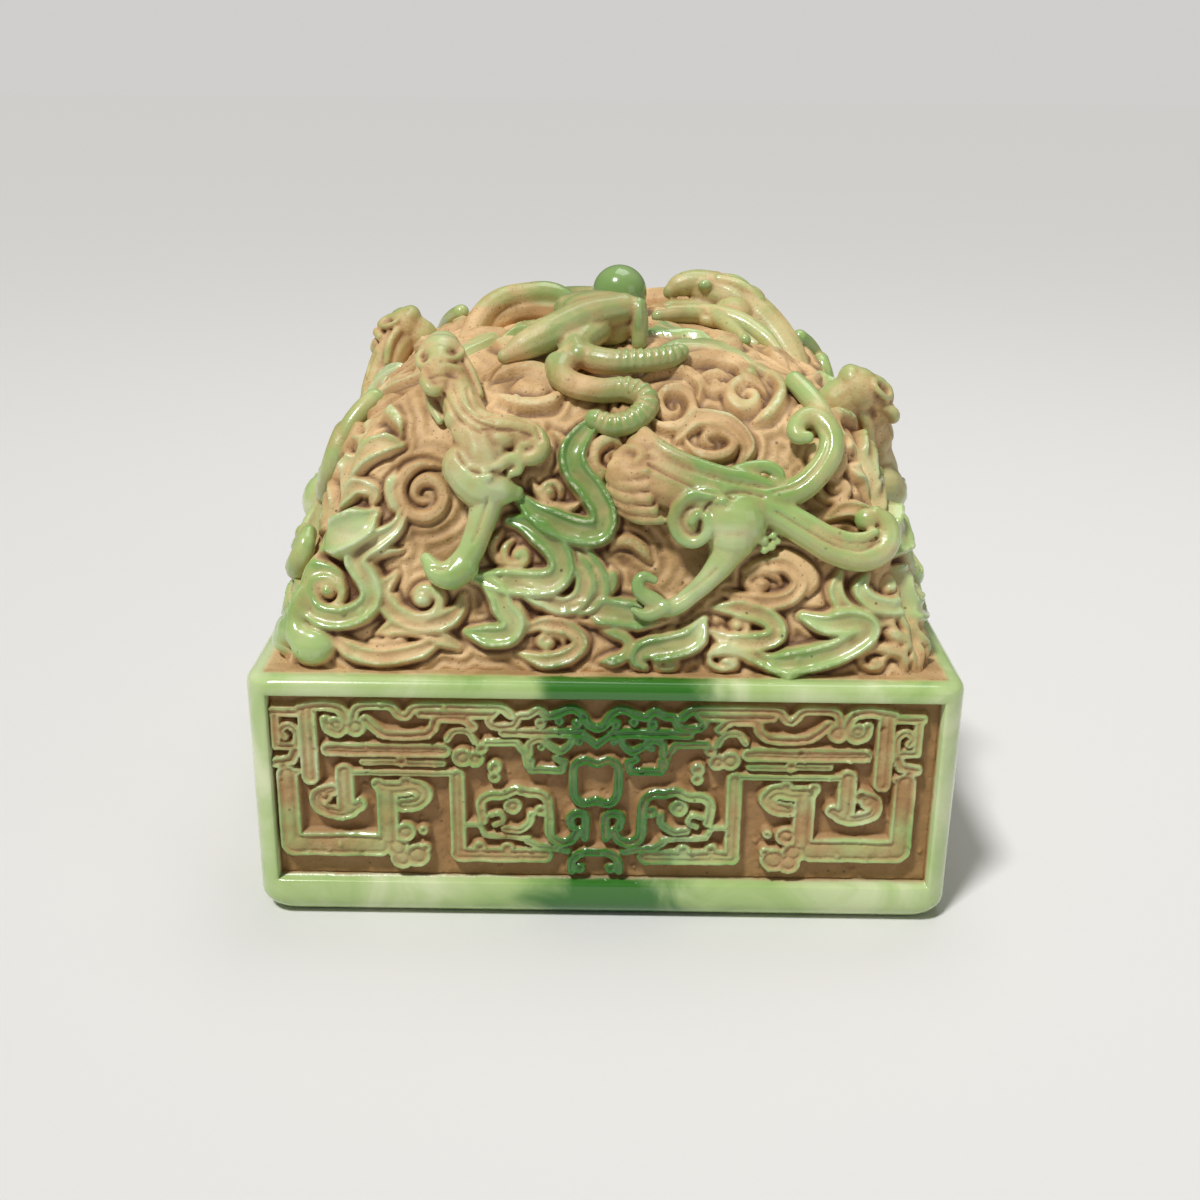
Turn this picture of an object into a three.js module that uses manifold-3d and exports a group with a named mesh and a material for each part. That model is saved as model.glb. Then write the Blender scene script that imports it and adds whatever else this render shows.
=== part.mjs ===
// A carved dragon seal in millimetres, +Z up, with its origin at the middle of the underside.
// A square block has a fret panel on each side and a printing face below. On the block stands a mound
// of clouds, with a dragon climbing each of the four slopes and one more coiled round a pearl on top.

import * as THREE from "three";
import { mergeVertices } from "three/addons/utils/BufferGeometryUtils.js";
import Module from "manifold-3d";

const wasm = await Module();
wasm.setup();

// Block
const BLOCK_SIDE = 100;
const BLOCK_HEIGHT = 37.5;
const BLOCK_CORNER = 4; // radius of the upright edges
const TOP_ROUND = 1.5; // radius of the upper edges
const FOOT_ROUND = 3.5; // radius of the lower edges
const PANEL_SIDE_MARGIN = 3.2; // from the block's side to the panel
const PANEL_TOP_MARGIN = 2.6;
const PANEL_FOOT_MARGIN = 6;
const PANEL_DEPTH = 2.4;

// Friezes and printing face
const FRIEZE_PLATE = 0.8;
const FRIEZE_RELIEF = 1.2;
const STAMP_MARGIN = 9; // from the block's side to the recess of the printing face
const STAMP_DEPTH = 3;
const STAMP_PLATE = 1.4;
const STAMP_RELIEF = 1.2;
const STAMP_BAND = 4; // width of the printing face's border
const FRET_WINDS = 4; // turns of the printing fret across a quarter of the face

// Mound
const LEDGE = 4; // from the block's side to the foot of the mound
const LEAN = 18.1; // degrees that each slope leans inwards
const SLOPE_RISE = 27; // height of the slopes, above which the dome rounds over
const DOME_RISE = 15.5;
const DOME_START = 8.2; // degrees up the dome's oval where the slope runs into it
const MOUND_CORNER = 6;
const CLOUD_SHELL = 1.8; // thickness of the cloud skin over the core
const PEARL_RADIUS = 4.3;
const PEARL_LIFT = 3; // from the top of the dome to the pearl's middle
const PEARL_SIDEWAYS = 1.5;

const SEAT_GAP = 0.3; // clearance between a piece and its seat

// Sizes that follow from the ones above
const blockHalf = BLOCK_SIDE / 2;
const panelWidth = BLOCK_SIDE - 2 * PANEL_SIDE_MARGIN;
const panelHeight = BLOCK_HEIGHT - PANEL_TOP_MARGIN - PANEL_FOOT_MARGIN;
const stampSide = BLOCK_SIDE - 2 * STAMP_MARGIN;
const lean = THREE.MathUtils.degToRad(LEAN);
const moundHalf = blockHalf - LEDGE;
const shoulderHalf = moundHalf - SLOPE_RISE * Math.tan(lean);
const domeStart = THREE.MathUtils.degToRad(DOME_START);
const domeHalf = shoulderHalf / Math.cos(domeStart);
const domeTall = DOME_RISE / (1 - Math.sin(domeStart));
const domeTop = BLOCK_HEIGHT + SLOPE_RISE + DOME_RISE;

// The carving is drawn in hundredths of the block's side, and heights on a slope in hundredths of its rise.
const unit = BLOCK_SIDE / 100;
const slopeUnit = SLOPE_RISE / 100;
const DOME_DRAWN = 0.94; // share of the slope's rise that the drawing climbs on the dome
const FORE_DROP = 0.26; // share of the slope's rise by which the left and right foreparts sit lower
const HIND_DROP = 0.18; // share of the slope's rise, for the hindparts

// Solids and geometry

function solid(geometry) {
  const bare = geometry.clone();
  bare.deleteAttribute("normal");
  bare.deleteAttribute("uv");
  const merged = mergeVertices(bare, 1e-4);
  return new wasm.Manifold(
    new wasm.Mesh({
      numProp: 3,
      vertProperties: new Float32Array(merged.attributes.position.array),
      triVerts: new Uint32Array(merged.index.array),
    }),
  );
}

function geometryOf(body) {
  const mesh = body.getMesh();
  const geometry = new THREE.BufferGeometry();
  geometry.setAttribute("position", new THREE.BufferAttribute(mesh.vertProperties, 3));
  geometry.setIndex(new THREE.BufferAttribute(mesh.triVerts, 1));
  geometry.computeVertexNormals();
  return geometry;
}

function join(bodies) {
  return bodies.reduce((whole, body) => whole.add(body));
}

// A closed skin over rings of equally many points, each end drawn to a point.
function loft(rings, startPoint, endPoint) {
  const count = rings[0].length;
  const points = [...rings.flat(), startPoint, endPoint];
  const startIndex = rings.length * count;
  const endIndex = startIndex + 1;
  const lastRing = (rings.length - 1) * count;
  const index = [];
  for (let i = 0; i < count; i++) {
    const next = (i + 1) % count;
    for (let ring = 0; ring < lastRing; ring += count) {
      index.push(ring + i, ring + next, ring + count + next);
      index.push(ring + i, ring + count + next, ring + count + i);
    }
    index.push(startIndex, next, i);
    index.push(endIndex, lastRing + i, lastRing + next);
  }
  return new THREE.BufferGeometry().setFromPoints(points).setIndex(index);
}

function squareRing(half, corner, height) {
  const CORNER_STEPS = 3;
  const inner = half - corner;
  const ring = [];
  for (let quarter = 0; quarter < 4; quarter++) {
    const middle = new THREE.Vector2(inner, inner).rotateAround(
      new THREE.Vector2(),
      (quarter * Math.PI) / 2,
    );
    for (let step = 0; step <= CORNER_STEPS; step++) {
      const angle = ((quarter + step / CORNER_STEPS) * Math.PI) / 2;
      const x = middle.x + corner * Math.cos(angle);
      const y = middle.y + corner * Math.sin(angle);
      ring.push(new THREE.Vector3(x, y, height));
    }
  }
  return ring;
}

// A stout limb has more sides than a thin one.
function sidesOf(radius) {
  const THIN = 0.019; // share of the block's side
  const STOUT = 0.036; // share of the block's side
  if (radius < THIN * BLOCK_SIDE) return 4;
  return radius < STOUT * BLOCK_SIDE ? 5 : 6;
}

// A tapered limb through stations of a point and a radius, round in section and drawn out at its ends.
// Each ring keeps the turn of the one before it, so that the limb doesn't twist in a curl.
function limb(stations, grow = 0) {
  const DRAWN_OUT = 0.55;
  const UPRIGHT = 0.9;
  const sides = sidesOf(Math.max(...stations.map((station) => station.radius)));
  const last = stations.length - 1;
  const across = new THREE.Vector3();
  const rings = [];
  const tips = [];
  stations.forEach(({ point, radius }, i) => {
    const before = stations[Math.max(i - 1, 0)].point;
    const after = stations[Math.min(i + 1, last)].point;
    const along = after.clone().sub(before).normalize();
    if (i === 0) {
      const upright = Math.abs(along.z) > UPRIGHT;
      across.copy(along).cross(new THREE.Vector3(upright ? 1 : 0, 0, upright ? 0 : 1));
    }
    across.addScaledVector(along, -across.dot(along)).normalize();
    const through = along.clone().cross(across);
    const reach = radius + grow / Math.cos(Math.PI / sides);
    const ring = [];
    for (let side = 0; side < sides; side++) {
      const angle = (side / sides) * 2 * Math.PI;
      const spoke = across.clone().multiplyScalar(reach * Math.cos(angle));
      spoke.addScaledVector(through, reach * Math.sin(angle));
      ring.push(point.clone().add(spoke));
    }
    rings.push(ring);
    if (i === 0) tips.push(point.clone().addScaledVector(along, -DRAWN_OUT * reach));
    if (i === last) tips.push(point.clone().addScaledVector(along, DRAWN_OUT * reach));
  });
  return solid(loft(rings, tips[0], tips[1]));
}

// A flat band that follows a path, mitred at its bends, from one half width to another.
function bandShape(path, startHalf, endHalf) {
  const left = [];
  const right = [];
  path.forEach((point, i) => {
    const before = path[Math.max(i - 1, 0)];
    const after = path[Math.min(i + 1, path.length - 1)];
    const coming = (i === 0 ? after.clone().sub(point) : point.clone().sub(before)).normalize();
    const going = (after === point ? coming.clone() : after.clone().sub(point)).normalize();
    const normal = new THREE.Vector2(-coming.y - going.y, coming.x + going.x).normalize();
    const squareOn = normal.dot(new THREE.Vector2(-coming.y, coming.x));
    const half = THREE.MathUtils.lerp(startHalf, endHalf, i / (path.length - 1));
    const reach = half / Math.max(squareOn, 0.6);
    left.push(point.clone().addScaledVector(normal, reach));
    right.unshift(point.clone().addScaledVector(normal, -reach));
  });
  return new THREE.Shape([...left, ...right]);
}

function extrude(shape, depth) {
  return new THREE.ExtrudeGeometry(shape, { depth, bevelEnabled: false, steps: 1, curveSegments: 6 });
}

// Block and printing face

function makeBlock() {
  const EDGE_STEPS = 3;
  const rings = [];
  for (let step = 0; step <= EDGE_STEPS; step++) {
    const angle = ((step / EDGE_STEPS) * Math.PI) / 2;
    const inset = FOOT_ROUND * (1 - Math.sin(angle));
    rings.push(
      squareRing(blockHalf - inset, BLOCK_CORNER, FOOT_ROUND * (1 - Math.cos(angle))),
    );
  }
  for (let step = 0; step <= EDGE_STEPS; step++) {
    const angle = ((step / EDGE_STEPS) * Math.PI) / 2;
    const inset = TOP_ROUND * (1 - Math.cos(angle));
    const height = BLOCK_HEIGHT - TOP_ROUND * (1 - Math.sin(angle));
    rings.push(squareRing(blockHalf - inset, BLOCK_CORNER, height));
  }
  let block = solid(
    loft(rings, new THREE.Vector3(0, 0, 0), new THREE.Vector3(0, 0, BLOCK_HEIGHT)),
  );
  const panelMiddle = PANEL_FOOT_MARGIN + panelHeight / 2;
  for (let side = 0; side < 4; side++) {
    const panel = new THREE.BoxGeometry(panelWidth, 2 * PANEL_DEPTH, panelHeight);
    panel.translate(0, -blockHalf, panelMiddle);
    panel.rotateZ((side * Math.PI) / 2);
    block = block.subtract(solid(panel));
  }
  const recess = new THREE.BoxGeometry(stampSide, stampSide, 2 * STAMP_DEPTH);
  return geometryOf(block.subtract(solid(recess)));
}

// The printing face is drawn from below: a border and a square fret that winds in from each corner.
function makeStampFace() {
  const plateHalf = stampSide / 2 - SEAT_GAP;
  const plate = new THREE.BoxGeometry(2 * plateHalf, 2 * plateHalf, STAMP_PLATE);
  plate.translate(0, 0, STAMP_DEPTH - SEAT_GAP - STAMP_PLATE / 2);
  const reliefTop = STAMP_DEPTH - SEAT_GAP - STAMP_PLATE / 2;
  const reliefDepth = STAMP_PLATE / 2 + STAMP_RELIEF;
  const bodies = [solid(plate)];
  const border = new THREE.Shape(cornersOf(plateHalf));
  border.holes.push(new THREE.Path(cornersOf(plateHalf - STAMP_BAND)));
  bodies.push(solid(extrude(border, reliefDepth).translate(0, 0, reliefTop - reliefDepth)));
  const quarter = plateHalf - STAMP_BAND;
  const wind = quarter / FRET_WINDS; // from one turn of the fret to the next
  const near = 0.4 * wind;
  const far = quarter - near;
  const turns = [
    [near, near],
    [far, near],
    [far, far],
    [near, far],
    [near, near + wind],
    [far - wind, near + wind],
    [far - wind, far - wind],
    [near + wind, far - wind],
  ];
  const path = turns.map(([x, y]) => new THREE.Vector2(x, y));
  for (let corner = 0; corner < 4; corner++) {
    const band = extrude(bandShape(path, wind / 4, wind / 4), reliefDepth);
    band.translate(0, 0, reliefTop - reliefDepth).rotateZ((corner * Math.PI) / 2);
    bodies.push(solid(band));
  }
  return geometryOf(join(bodies));
}

function cornersOf(half) {
  return [
    new THREE.Vector2(-half, -half),
    new THREE.Vector2(half, -half),
    new THREE.Vector2(half, half),
    new THREE.Vector2(-half, half),
  ];
}

// Frieze: the fret of one half panel, as [half width, points]. Half widths and distances from the middle
// are in hundredths of the panel's width, and heights in hundredths of its height.
const FRET = [
  [1.7, [47.4, 54], [47.4, 19], [31.6, 19], [31.6, 50], [26.3, 50], [26.3, 42]],
  [1.7, [31, 16], [26.7, 13]],
  [1, [41.5, 50], [41.5, 38], [37.6, 38], [37.6, 59], [21.2, 59], [21.2, 14], [7.5, 14]],
  [1.3, [40.2, 71], [21.4, 71]],
  [1, [43.1, 59], [43.1, 91], [48.2, 91], [48.2, 73], [45.5, 73]],
  [0.9, [43.4, 93], [38, 93], [37.8, 82]],
  [0.9, [35.9, 85], [35.3, 93], [13.2, 93]],
  [1, [34.2, 87], [31.4, 79], [25.6, 79], [23.7, 87], [18.6, 85]],
  [1, [17.1, 33], [17.1, 46], [7.7, 48], [7.1, 23], [3, 23], [3, 37]],
  [0.9, [16, 76], [11.3, 76], [9.8, 61], [4.9, 61], [4.9, 68]],
  [1, [13.9, 82], [0, 82]],
  [0.9, [3.4, 6], [3.2, 15], [0, 16]],
];
const BUCKLE = [55, 3.7, 2.3]; // height, half width and half opening, in the same hundredths

function makeFrieze() {
  const across = panelWidth / 100;
  const up = panelHeight / 100;
  const plate = new THREE.BoxGeometry(
    panelWidth - 2 * SEAT_GAP,
    panelHeight - 2 * SEAT_GAP,
    FRIEZE_PLATE,
  );
  plate.translate(0, panelHeight / 2, FRIEZE_PLATE / 2);
  const reliefHeight = FRIEZE_PLATE / 2 + FRIEZE_RELIEF;
  const bodies = [solid(plate)];
  for (const [half, ...points] of FRET) {
    for (const mirror of [1, -1]) {
      const path = points.map(([x, rise]) => new THREE.Vector2(mirror * x * across, rise * up));
      const band = extrude(bandShape(path, half * across, half * across), reliefHeight);
      bodies.push(solid(band.translate(0, 0, FRIEZE_PLATE / 2)));
    }
  }
  const [buckleRise, buckleHalf, opening] = BUCKLE;
  const buckle = new THREE.Shape(cornersOf(buckleHalf * across));
  buckle.holes.push(new THREE.Path(cornersOf(opening * across)));
  const ring = extrude(buckle, reliefHeight);
  bodies.push(solid(ring.translate(0, buckleRise * up, FRIEZE_PLATE / 2)));
  return join(bodies);
}

// Mound: square rings up the slopes and over the dome, swollen or shrunk by an offset

function mound(offset) {
  const DOME_STEPS = 5;
  const DOME_SWEEP = 1.42; // radians up the dome's oval to its last ring
  const sideways = offset / Math.cos(lean);
  const foot = BLOCK_HEIGHT + SEAT_GAP;
  const footHalf = moundHalf - SEAT_GAP * Math.tan(lean) + sideways;
  const rings = [squareRing(footHalf, MOUND_CORNER, foot)];
  for (let step = 0; step <= DOME_STEPS; step++) {
    const angle = THREE.MathUtils.lerp(domeStart, DOME_SWEEP, step / DOME_STEPS);
    const half = (domeHalf + sideways) * Math.cos(angle);
    const height = domeTop - domeTall + (domeTall + offset) * Math.sin(angle);
    rings.push(squareRing(half, Math.min(MOUND_CORNER, 0.8 * half), height));
  }
  const top = new THREE.Vector3(0, 0, domeTop + offset);
  return solid(loft(rings, new THREE.Vector3(0, 0, foot), top));
}

// How far the mound reaches out, and how high it is, at a height of the drawing
function moundAt(rise) {
  const climbed = rise - SLOPE_RISE;
  if (climbed <= 0) {
    return { half: moundHalf - rise * Math.tan(lean), height: BLOCK_HEIGHT + rise };
  }
  const share = Math.min(climbed / (DOME_DRAWN * SLOPE_RISE), 1);
  const angle = THREE.MathUtils.lerp(domeStart, Math.PI / 2, share);
  return {
    half: domeHalf * Math.cos(angle),
    height: domeTop - domeTall * (1 - Math.sin(angle)),
  };
}

// The quarter of space in front, short of the two corner planes by half a seat gap each.
function frontSector() {
  const far = BLOCK_SIDE;
  const start = SEAT_GAP * Math.SQRT1_2;
  const wedge = new THREE.Shape([
    new THREE.Vector2(0, -start),
    new THREE.Vector2(-far, -far - start),
    new THREE.Vector2(far, -far - start),
  ]);
  const height = BLOCK_HEIGHT + SEAT_GAP;
  return solid(extrude(wedge, far).translate(0, 0, height));
}

// Stations on the front slope, as [x, rise, lift off the mound, radius]. Lifts follow the slope's normal.

function slopeStation([x, rise, lift, radius], drop = 0) {
  const drawn = rise * slopeUnit - drop * SLOPE_RISE;
  const { half, height } = moundAt(drawn);
  const sunk = Math.cos(lean) * (half - moundHalf + (height - BLOCK_HEIGHT) * Math.tan(lean));
  const out = lift * unit + sunk;
  const y = drawn * Math.tan(lean) - moundHalf - out * Math.cos(lean);
  const z = BLOCK_HEIGHT + drawn + out * Math.sin(lean);
  return { point: new THREE.Vector3(x * unit, y, z), radius: radius * unit };
}

// Stations on the crown, as [x, y, lift over the dome's top, radius]

function crownStation([x, y, lift, radius]) {
  const point = new THREE.Vector3(x * unit, y * unit, domeTop + lift * unit);
  return { point, radius: radius * unit };
}

// Foreparts: neck, head, crest, muzzle, two ears, the mane and its lock, shoulder, foreleg and paw
const FOREPART = [
  [[-17, 93, 1.6, 3.2], [-17.8, 115, 1.8, 3.2], [-19.4, 130, 1.8, 2.8], [-21, 142, 2.2, 3],
    [-22.5, 153, 3, 3.4]],
  [[-22.6, 152, 1.4, 3.6], [-22.7, 156, 5.4, 3.7]],
  [[-22.7, 158, 6, 2.8], [-22.8, 166, 8.4, 1.5], [-22.6, 170, 9.2, 0.8]],
  [[-22.6, 153, 6, 2.6], [-23, 144, 5.6, 2], [-23.3, 135, 4.6, 1.3]],
  [[-20.8, 155, 5.2, 1.4], [-18.4, 145, 4, 1], [-17.3, 134, 2.2, 0.7]],
  [[-24.4, 156, 4, 1.5], [-24.8, 142, 2.6, 1.4], [-24, 122, 1.2, 0.9]],
  [[-18.4, 119, 2.4, 2.4], [-15, 121, 3.1, 1.9], [-10.6, 119, 2.6, 1.7], [-8.5, 111, 2.2, 1.5],
    [-9.6, 104, 2.2, 1.2], [-11.2, 106, 2.6, 0.9]],
  [[-20.4, 121, 3, 1.7], [-17.6, 110, 4.4, 1.6], [-14.6, 110, 4.2, 1.6]],
  [[-19.6, 99, 1.8, 3.3], [-17.2, 90, 2.4, 3.4], [-12.8, 87, 1.4, 1.5]],
  [[-16.2, 89, 2.2, 2.8], [-17.6, 68, 2.2, 2], [-20, 51, 2.2, 2.1]],
  [[-19.4, 51, 2.2, 2.3], [-22, 47, 2.5, 2.2], [-24.8, 55, 2, 1]],
];

// Hindparts: trunk, back ridge, haunch, hind leg, knee curl, fringe, upper tail, its branch and lower tail
const HINDPART = [
  [[3, 96, 0.8, 3.4], [7.5, 93, 1.3, 3.8], [13, 87, 1.5, 3.8], [19, 84, 1.4, 3.3],
    [22.6, 86, 1.2, 2.5]],
  [[6, 108, 1.2, 2], [10.5, 101, 2.2, 2], [15.5, 96, 2.6, 1.9], [22, 92, 2.2, 1.4]],
  [[17.4, 80, 1.6, 4.6], [17.2, 69, 2, 4]],
  [[17, 68, 2, 3.4], [14.6, 52, 2.2, 2.2], [11, 39, 2, 1.8], [8, 34, 2, 1.7], [5.4, 39, 2.2, 1.2],
    [5, 46, 2.4, 0.9]],
  [[10, 67, 3, 1.7], [9, 76, 4, 1.4], [10.6, 86, 4.6, 1.4], [13.2, 87, 4.8, 1.3], [15, 81, 5, 1.1]],
  [[5.6, 91, 2.6, 1.4], [0.6, 94, 1.8, 1]],
  [[6.4, 83, 2.6, 1.4], [1.2, 86, 1.6, 1]],
  [[20, 87, 1.4, 2.7], [26, 90, 2, 2.1], [29.4, 101, 2, 1.9], [30.6, 113, 2, 1.8], [29, 124, 2.1, 1.7],
    [26.6, 123, 2.2, 1.5], [26.2, 116, 2.4, 1.1]],
  [[30.4, 115, 1.6, 1.6], [29, 133, 2, 1.6], [26.4, 145, 2.2, 1.4]],
  [[20, 85, 1.6, 2.8], [26, 73, 1.9, 2.4], [32, 61, 2, 2.3], [36.4, 60, 2, 2.2], [38.4, 69, 2, 1.7],
    [36.8, 79, 2.2, 1.2]],
];

// Crown dragon: the arched body, its wall, the loin that reaches to the rump, and the coil at the back
const CROWN_BODY = [
  [[-21.6, -10, -3.4, 2.1], [-20.4, -6, -1, 2.3], [-17.4, -2, 1.2, 2.4], [-13, 0, 2, 2.4], [-9, 0.2, 2, 2.3],
    [-6.4, -0.4, 0.8, 2.2]],
  [[-19, -0.4, -2.2, 3], [-13.2, 2, -0.8, 3.4], [-8, 1.6, -0.8, 3.2]],
  [[-9, 2, -0.4, 2.8], [-4.6, -4, -0.4, 2.7], [-3.6, -9.6, 0, 2.7]],
  [[20.4, 11, -2.4, 2.8], [14, 17, -1.5, 2.9], [4, 19, -2, 2.9], [-6, 14, -1, 2.9], [-12, 5, -0.6, 2.9]],
];
// Its neck, upper jaw, lower jaw, horns, whisker ridge, cheek, foreleg and claw
const CROWN_HEAD = [
  [[30.4, -2, -9.4, 2.7], [28.2, 2, -6, 3.2], [24.4, 6, -2.3, 3.6], [19.6, 9, 0.8, 3.6],
    [15.4, 10, 2.2, 2.9]],
  [[17, 9.8, 2.4, 2.6], [13.8, 9.8, 3.2, 2.2], [9.8, 9, 1.8, 1.3]],
  [[18, 8.6, -0.4, 2.5], [13.4, 8, -0.8, 1.8], [8.4, 6.8, -0.7, 1]],
  [[17.4, 8.4, 3.4, 1.3], [21, 7, 3.4, 1], [24.4, 5.4, 1.6, 0.7]],
  [[16.8, 11.8, 3.2, 1.3], [21, 13, 3.2, 1], [24.4, 13, 1, 0.6]],
  [[9.6, 3.4, -0.6, 1.3], [14.6, 2.8, -0.6, 1.8], [20, 1, -1.4, 1.9], [24.4, -2.6, -3.4, 1.6],
    [26.4, -5.4, -5, 1]],
  [[21, 8, -0.6, 3], [18.4, 2.2, -1.2, 2]],
  [[15.4, 3.2, -0.8, 1.7], [18.4, -5, -1, 1.4], [20.6, -11, -2.4, 1]],
  [[14.4, 2, -0.6, 1.7], [10.4, -3.4, 0.2, 1.4], [7.4, -5.6, 0.4, 1]],
];
// Its rump, the blade of the haunch and the flank between them
const CROWN_RUMP = [
  [[-6, -10.6, 1.8, 2.7], [-3, -13.6, 2.8, 2.6], [1, -15.6, 3, 2.5], [3.2, -16.2, 2.4, 2.4],
    [3.6, -17.2, -1.6, 1.9]],
  [[2, -16, 3, 2.4], [-3.6, -18.4, 2, 2.8], [-8.4, -21.2, 0.2, 2.7], [-12.4, -23.4, -1.4, 2.1],
    [-15, -24.8, -2.6, 1.1]],
  [[-5, -17.6, 0, 2.8], [3.2, -16.6, 0.8, 2.8]],
];
// The forked tail leaves the rump and hangs over the front slope.
const TAIL_ROOT = [[-2, -18.4, 0.4, 2.6], [-4.4, -21.4, -0.8, 2.3]];
const TAIL_FORKS = [
  [[-4.8, 161, 4.8, 2], [-1.8, 155, 5.2, 2], [3.6, 154, 5.4, 2], [8.8, 157, 5.4, 1.9],
    [10.2, 160, 5.2, 1.3]],
  [[-7.2, 152, 3.4, 2], [-6.4, 143, 3.2, 1.8], [-1.4, 137, 2.8, 1.7], [3, 137, 2.8, 1.8],
    [5.3, 132, 2.4, 1.8], [4.4, 125, 1.9, 1.8], [1.1, 120, 1.7, 1.7], [-1.9, 123, 1.7, 1.4]],
];

function dragon(limbs, station, grow = 0) {
  return join(limbs.map((stations) => limb(stations.map((numbers) => station(numbers)), grow)));
}

function forepart(drop) {
  return dragon(FOREPART, (numbers) => slopeStation(numbers, drop)).subtract(seat);
}

function hindpart(drop) {
  return dragon(HINDPART, (numbers) => slopeStation(numbers, drop)).subtract(seat);
}

function crownTail(grow = 0) {
  const root = TAIL_ROOT.map(crownStation);
  const forks = TAIL_FORKS.map((fork) => {
    const hanging = fork.map((numbers) => slopeStation(numbers));
    return limb([...root, ...hanging], grow);
  });
  return join([dragon(CROWN_RUMP, crownStation, grow), ...forks]);
}

// Clouds: strokes on the skin of every slope, as stations of [x, rise, radius]
const STROKES = [
  [[-35, 38, 1.5], [-36.4, 45, 1.3], [-38.4, 38, 1.3], [-37.6, 26, 1.3], [-34.4, 25, 1.4], [-32, 36, 1.4],
    [-33.2, 50, 1.3], [-31, 62, 1.4], [-28, 77, 1.1]],
  [[-36, 61, 1.5], [-34.2, 69, 1.9], [-31.6, 77, 1.5]],
  [[-13.4, 39, 1], [-8.4, 36, 1.2], [-3.6, 37, 1.5], [-2.4, 47, 1.6], [-5, 61, 1.1]],
  [[-11.4, 18, 0.9], [-6, 21, 1.1], [-3.8, 15, 1.1], [-8, 7, 1], [-11.6, 9, 0.8]],
  [[20.8, 9, 1.2], [27.4, 8, 1.6], [34.2, 16, 1.6], [34.6, 25, 1.4], [27.6, 28, 1.1]],
  [[-32.4, 92, 1.1], [-30.2, 103, 1.4], [-27.4, 109, 1.2]],
];
// More strokes under the dragons that sit high, and over those that sit low
const UNDER_STROKES = [
  [[-29.4, 46, 1], [-30.2, 33, 1.2], [-26.6, 24, 1.2], [-22.4, 24, 1.2], [-19.8, 37, 1]],
  [[-17, 45, 1.2], [-11, 43, 1.6], [-6.4, 50, 1.6], [-8.4, 66, 1.6], [-13.4, 74, 1.2]],
  [[-16.8, 42, 1.2], [-14.2, 32, 1.5], [-13.2, 20, 1.4], [-19, 19, 1]],
  [[13.4, 26, 1.2], [9.6, 14, 1.6], [4.8, 7, 1.3]],
  [[15, 32, 1], [21.6, 29, 1.2], [23.2, 20, 1.2], [16.4, 16, 1]],
  [[-9.2, 78, 1.4], [-6.2, 72, 1.8], [-1.4, 70, 1.8], [-1.6, 85, 1.8], [-4.6, 103, 1.7], [-3.6, 111, 1.2]],
];
const OVER_STROKES = [
  [[-1.6, 90, 1.6], [-4.6, 103, 1.7], [-3.4, 114, 1.6], [-0.6, 121, 1.2]],
  [[5.6, 126, 1], [8.6, 117, 1.2], [12.6, 126, 1.2], [10, 139, 1]],
  [[10.6, 111, 1], [14, 118, 1.2], [18.6, 114, 1.2], [18.4, 103, 1]],
  [[16.6, 128, 1], [20, 123, 1.2], [22.8, 133, 1.2], [19, 143, 1]],
  [[-16.4, 132, 1], [-11, 130, 1.2], [-9, 140, 1.2], [-14.6, 146, 1]],
];
const STROKE_LIFT = 0.35; // a stroke's middle above the skin, as a share of its radius
// A swell of cloud covers the mound's edge at two opposite corners, as stations of [rise, radius].
const CORNER_SWELL = [[6, 4], [17, 4.6], [32, 3.4], [48, 1.8]];

function cornerStation([rise, radius], end) {
  const { half, height } = moundAt(rise * slopeUnit);
  const edge = half - MOUND_CORNER * (1 - Math.SQRT1_2);
  return { point: new THREE.Vector3(end * edge, -edge, height), radius: radius * unit };
}

function makeClouds(lines, swellEnd) {
  const strokes = lines.map((stroke) => {
    const stations = stroke.map(([x, rise, radius]) => [x, rise, STROKE_LIFT * radius, radius]);
    return limb(stations.map((numbers) => slopeStation(numbers)));
  });
  const swell = limb(CORNER_SWELL.map((numbers) => cornerStation(numbers, swellEnd)));
  const holeRadius = PEARL_SIDEWAYS + PEARL_RADIUS + SEAT_GAP;
  const holeDeep = 4 * CLOUD_SHELL; // well past both faces of the skin
  const hole = new THREE.CylinderGeometry(holeRadius, holeRadius, holeDeep, 12);
  hole.rotateX(Math.PI / 2).translate(0, 0, domeTop);
  return join([mound(0), ...strokes, swell])
    .subtract(mound(-CLOUD_SHELL))
    .subtract(solid(hole))
    .intersect(frontSector());
}

// Assembly

const part = new THREE.Group();

function add(parent, name, geometry, colour, roughness = 0.35) {
  const material = new THREE.MeshStandardMaterial({ color: colour, roughness, metalness: 0 });
  const mesh = new THREE.Mesh(geometry, material);
  mesh.name = name;
  parent.add(mesh);
  return mesh;
}

const JADE = 0x8fbf7c;
const DEEP_JADE = 0x3f8f4f;
const PATINA = 0xcfae84;

add(part, "seal_block", makeBlock(), JADE);
add(part, "stamp_face", makeStampFace(), DEEP_JADE);
const core = mound(-CLOUD_SHELL - SEAT_GAP);
add(part, "cloud_mound", geometryOf(core), PATINA, 0.8);

const seat = mound(SEAT_GAP);
const tail = crownTail().subtract(seat);
const head = dragon(CROWN_HEAD, crownStation).subtract(seat);
const body = dragon(CROWN_BODY, crownStation)
  .subtract(seat)
  .subtract(crownTail(SEAT_GAP))
  .subtract(dragon(CROWN_HEAD, crownStation, SEAT_GAP));

// The pearl stands on the core, in a round hole through the middle of the cloud skin.
const pearlBall = new THREE.SphereGeometry(PEARL_RADIUS, 12, 8).rotateX(Math.PI / 2);
const pearlBody = solid(pearlBall.translate(PEARL_SIDEWAYS, 0, domeTop + PEARL_LIFT));
const pearl = pearlBody.subtract(mound(-CLOUD_SHELL));
const frieze = makeFrieze();

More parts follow.
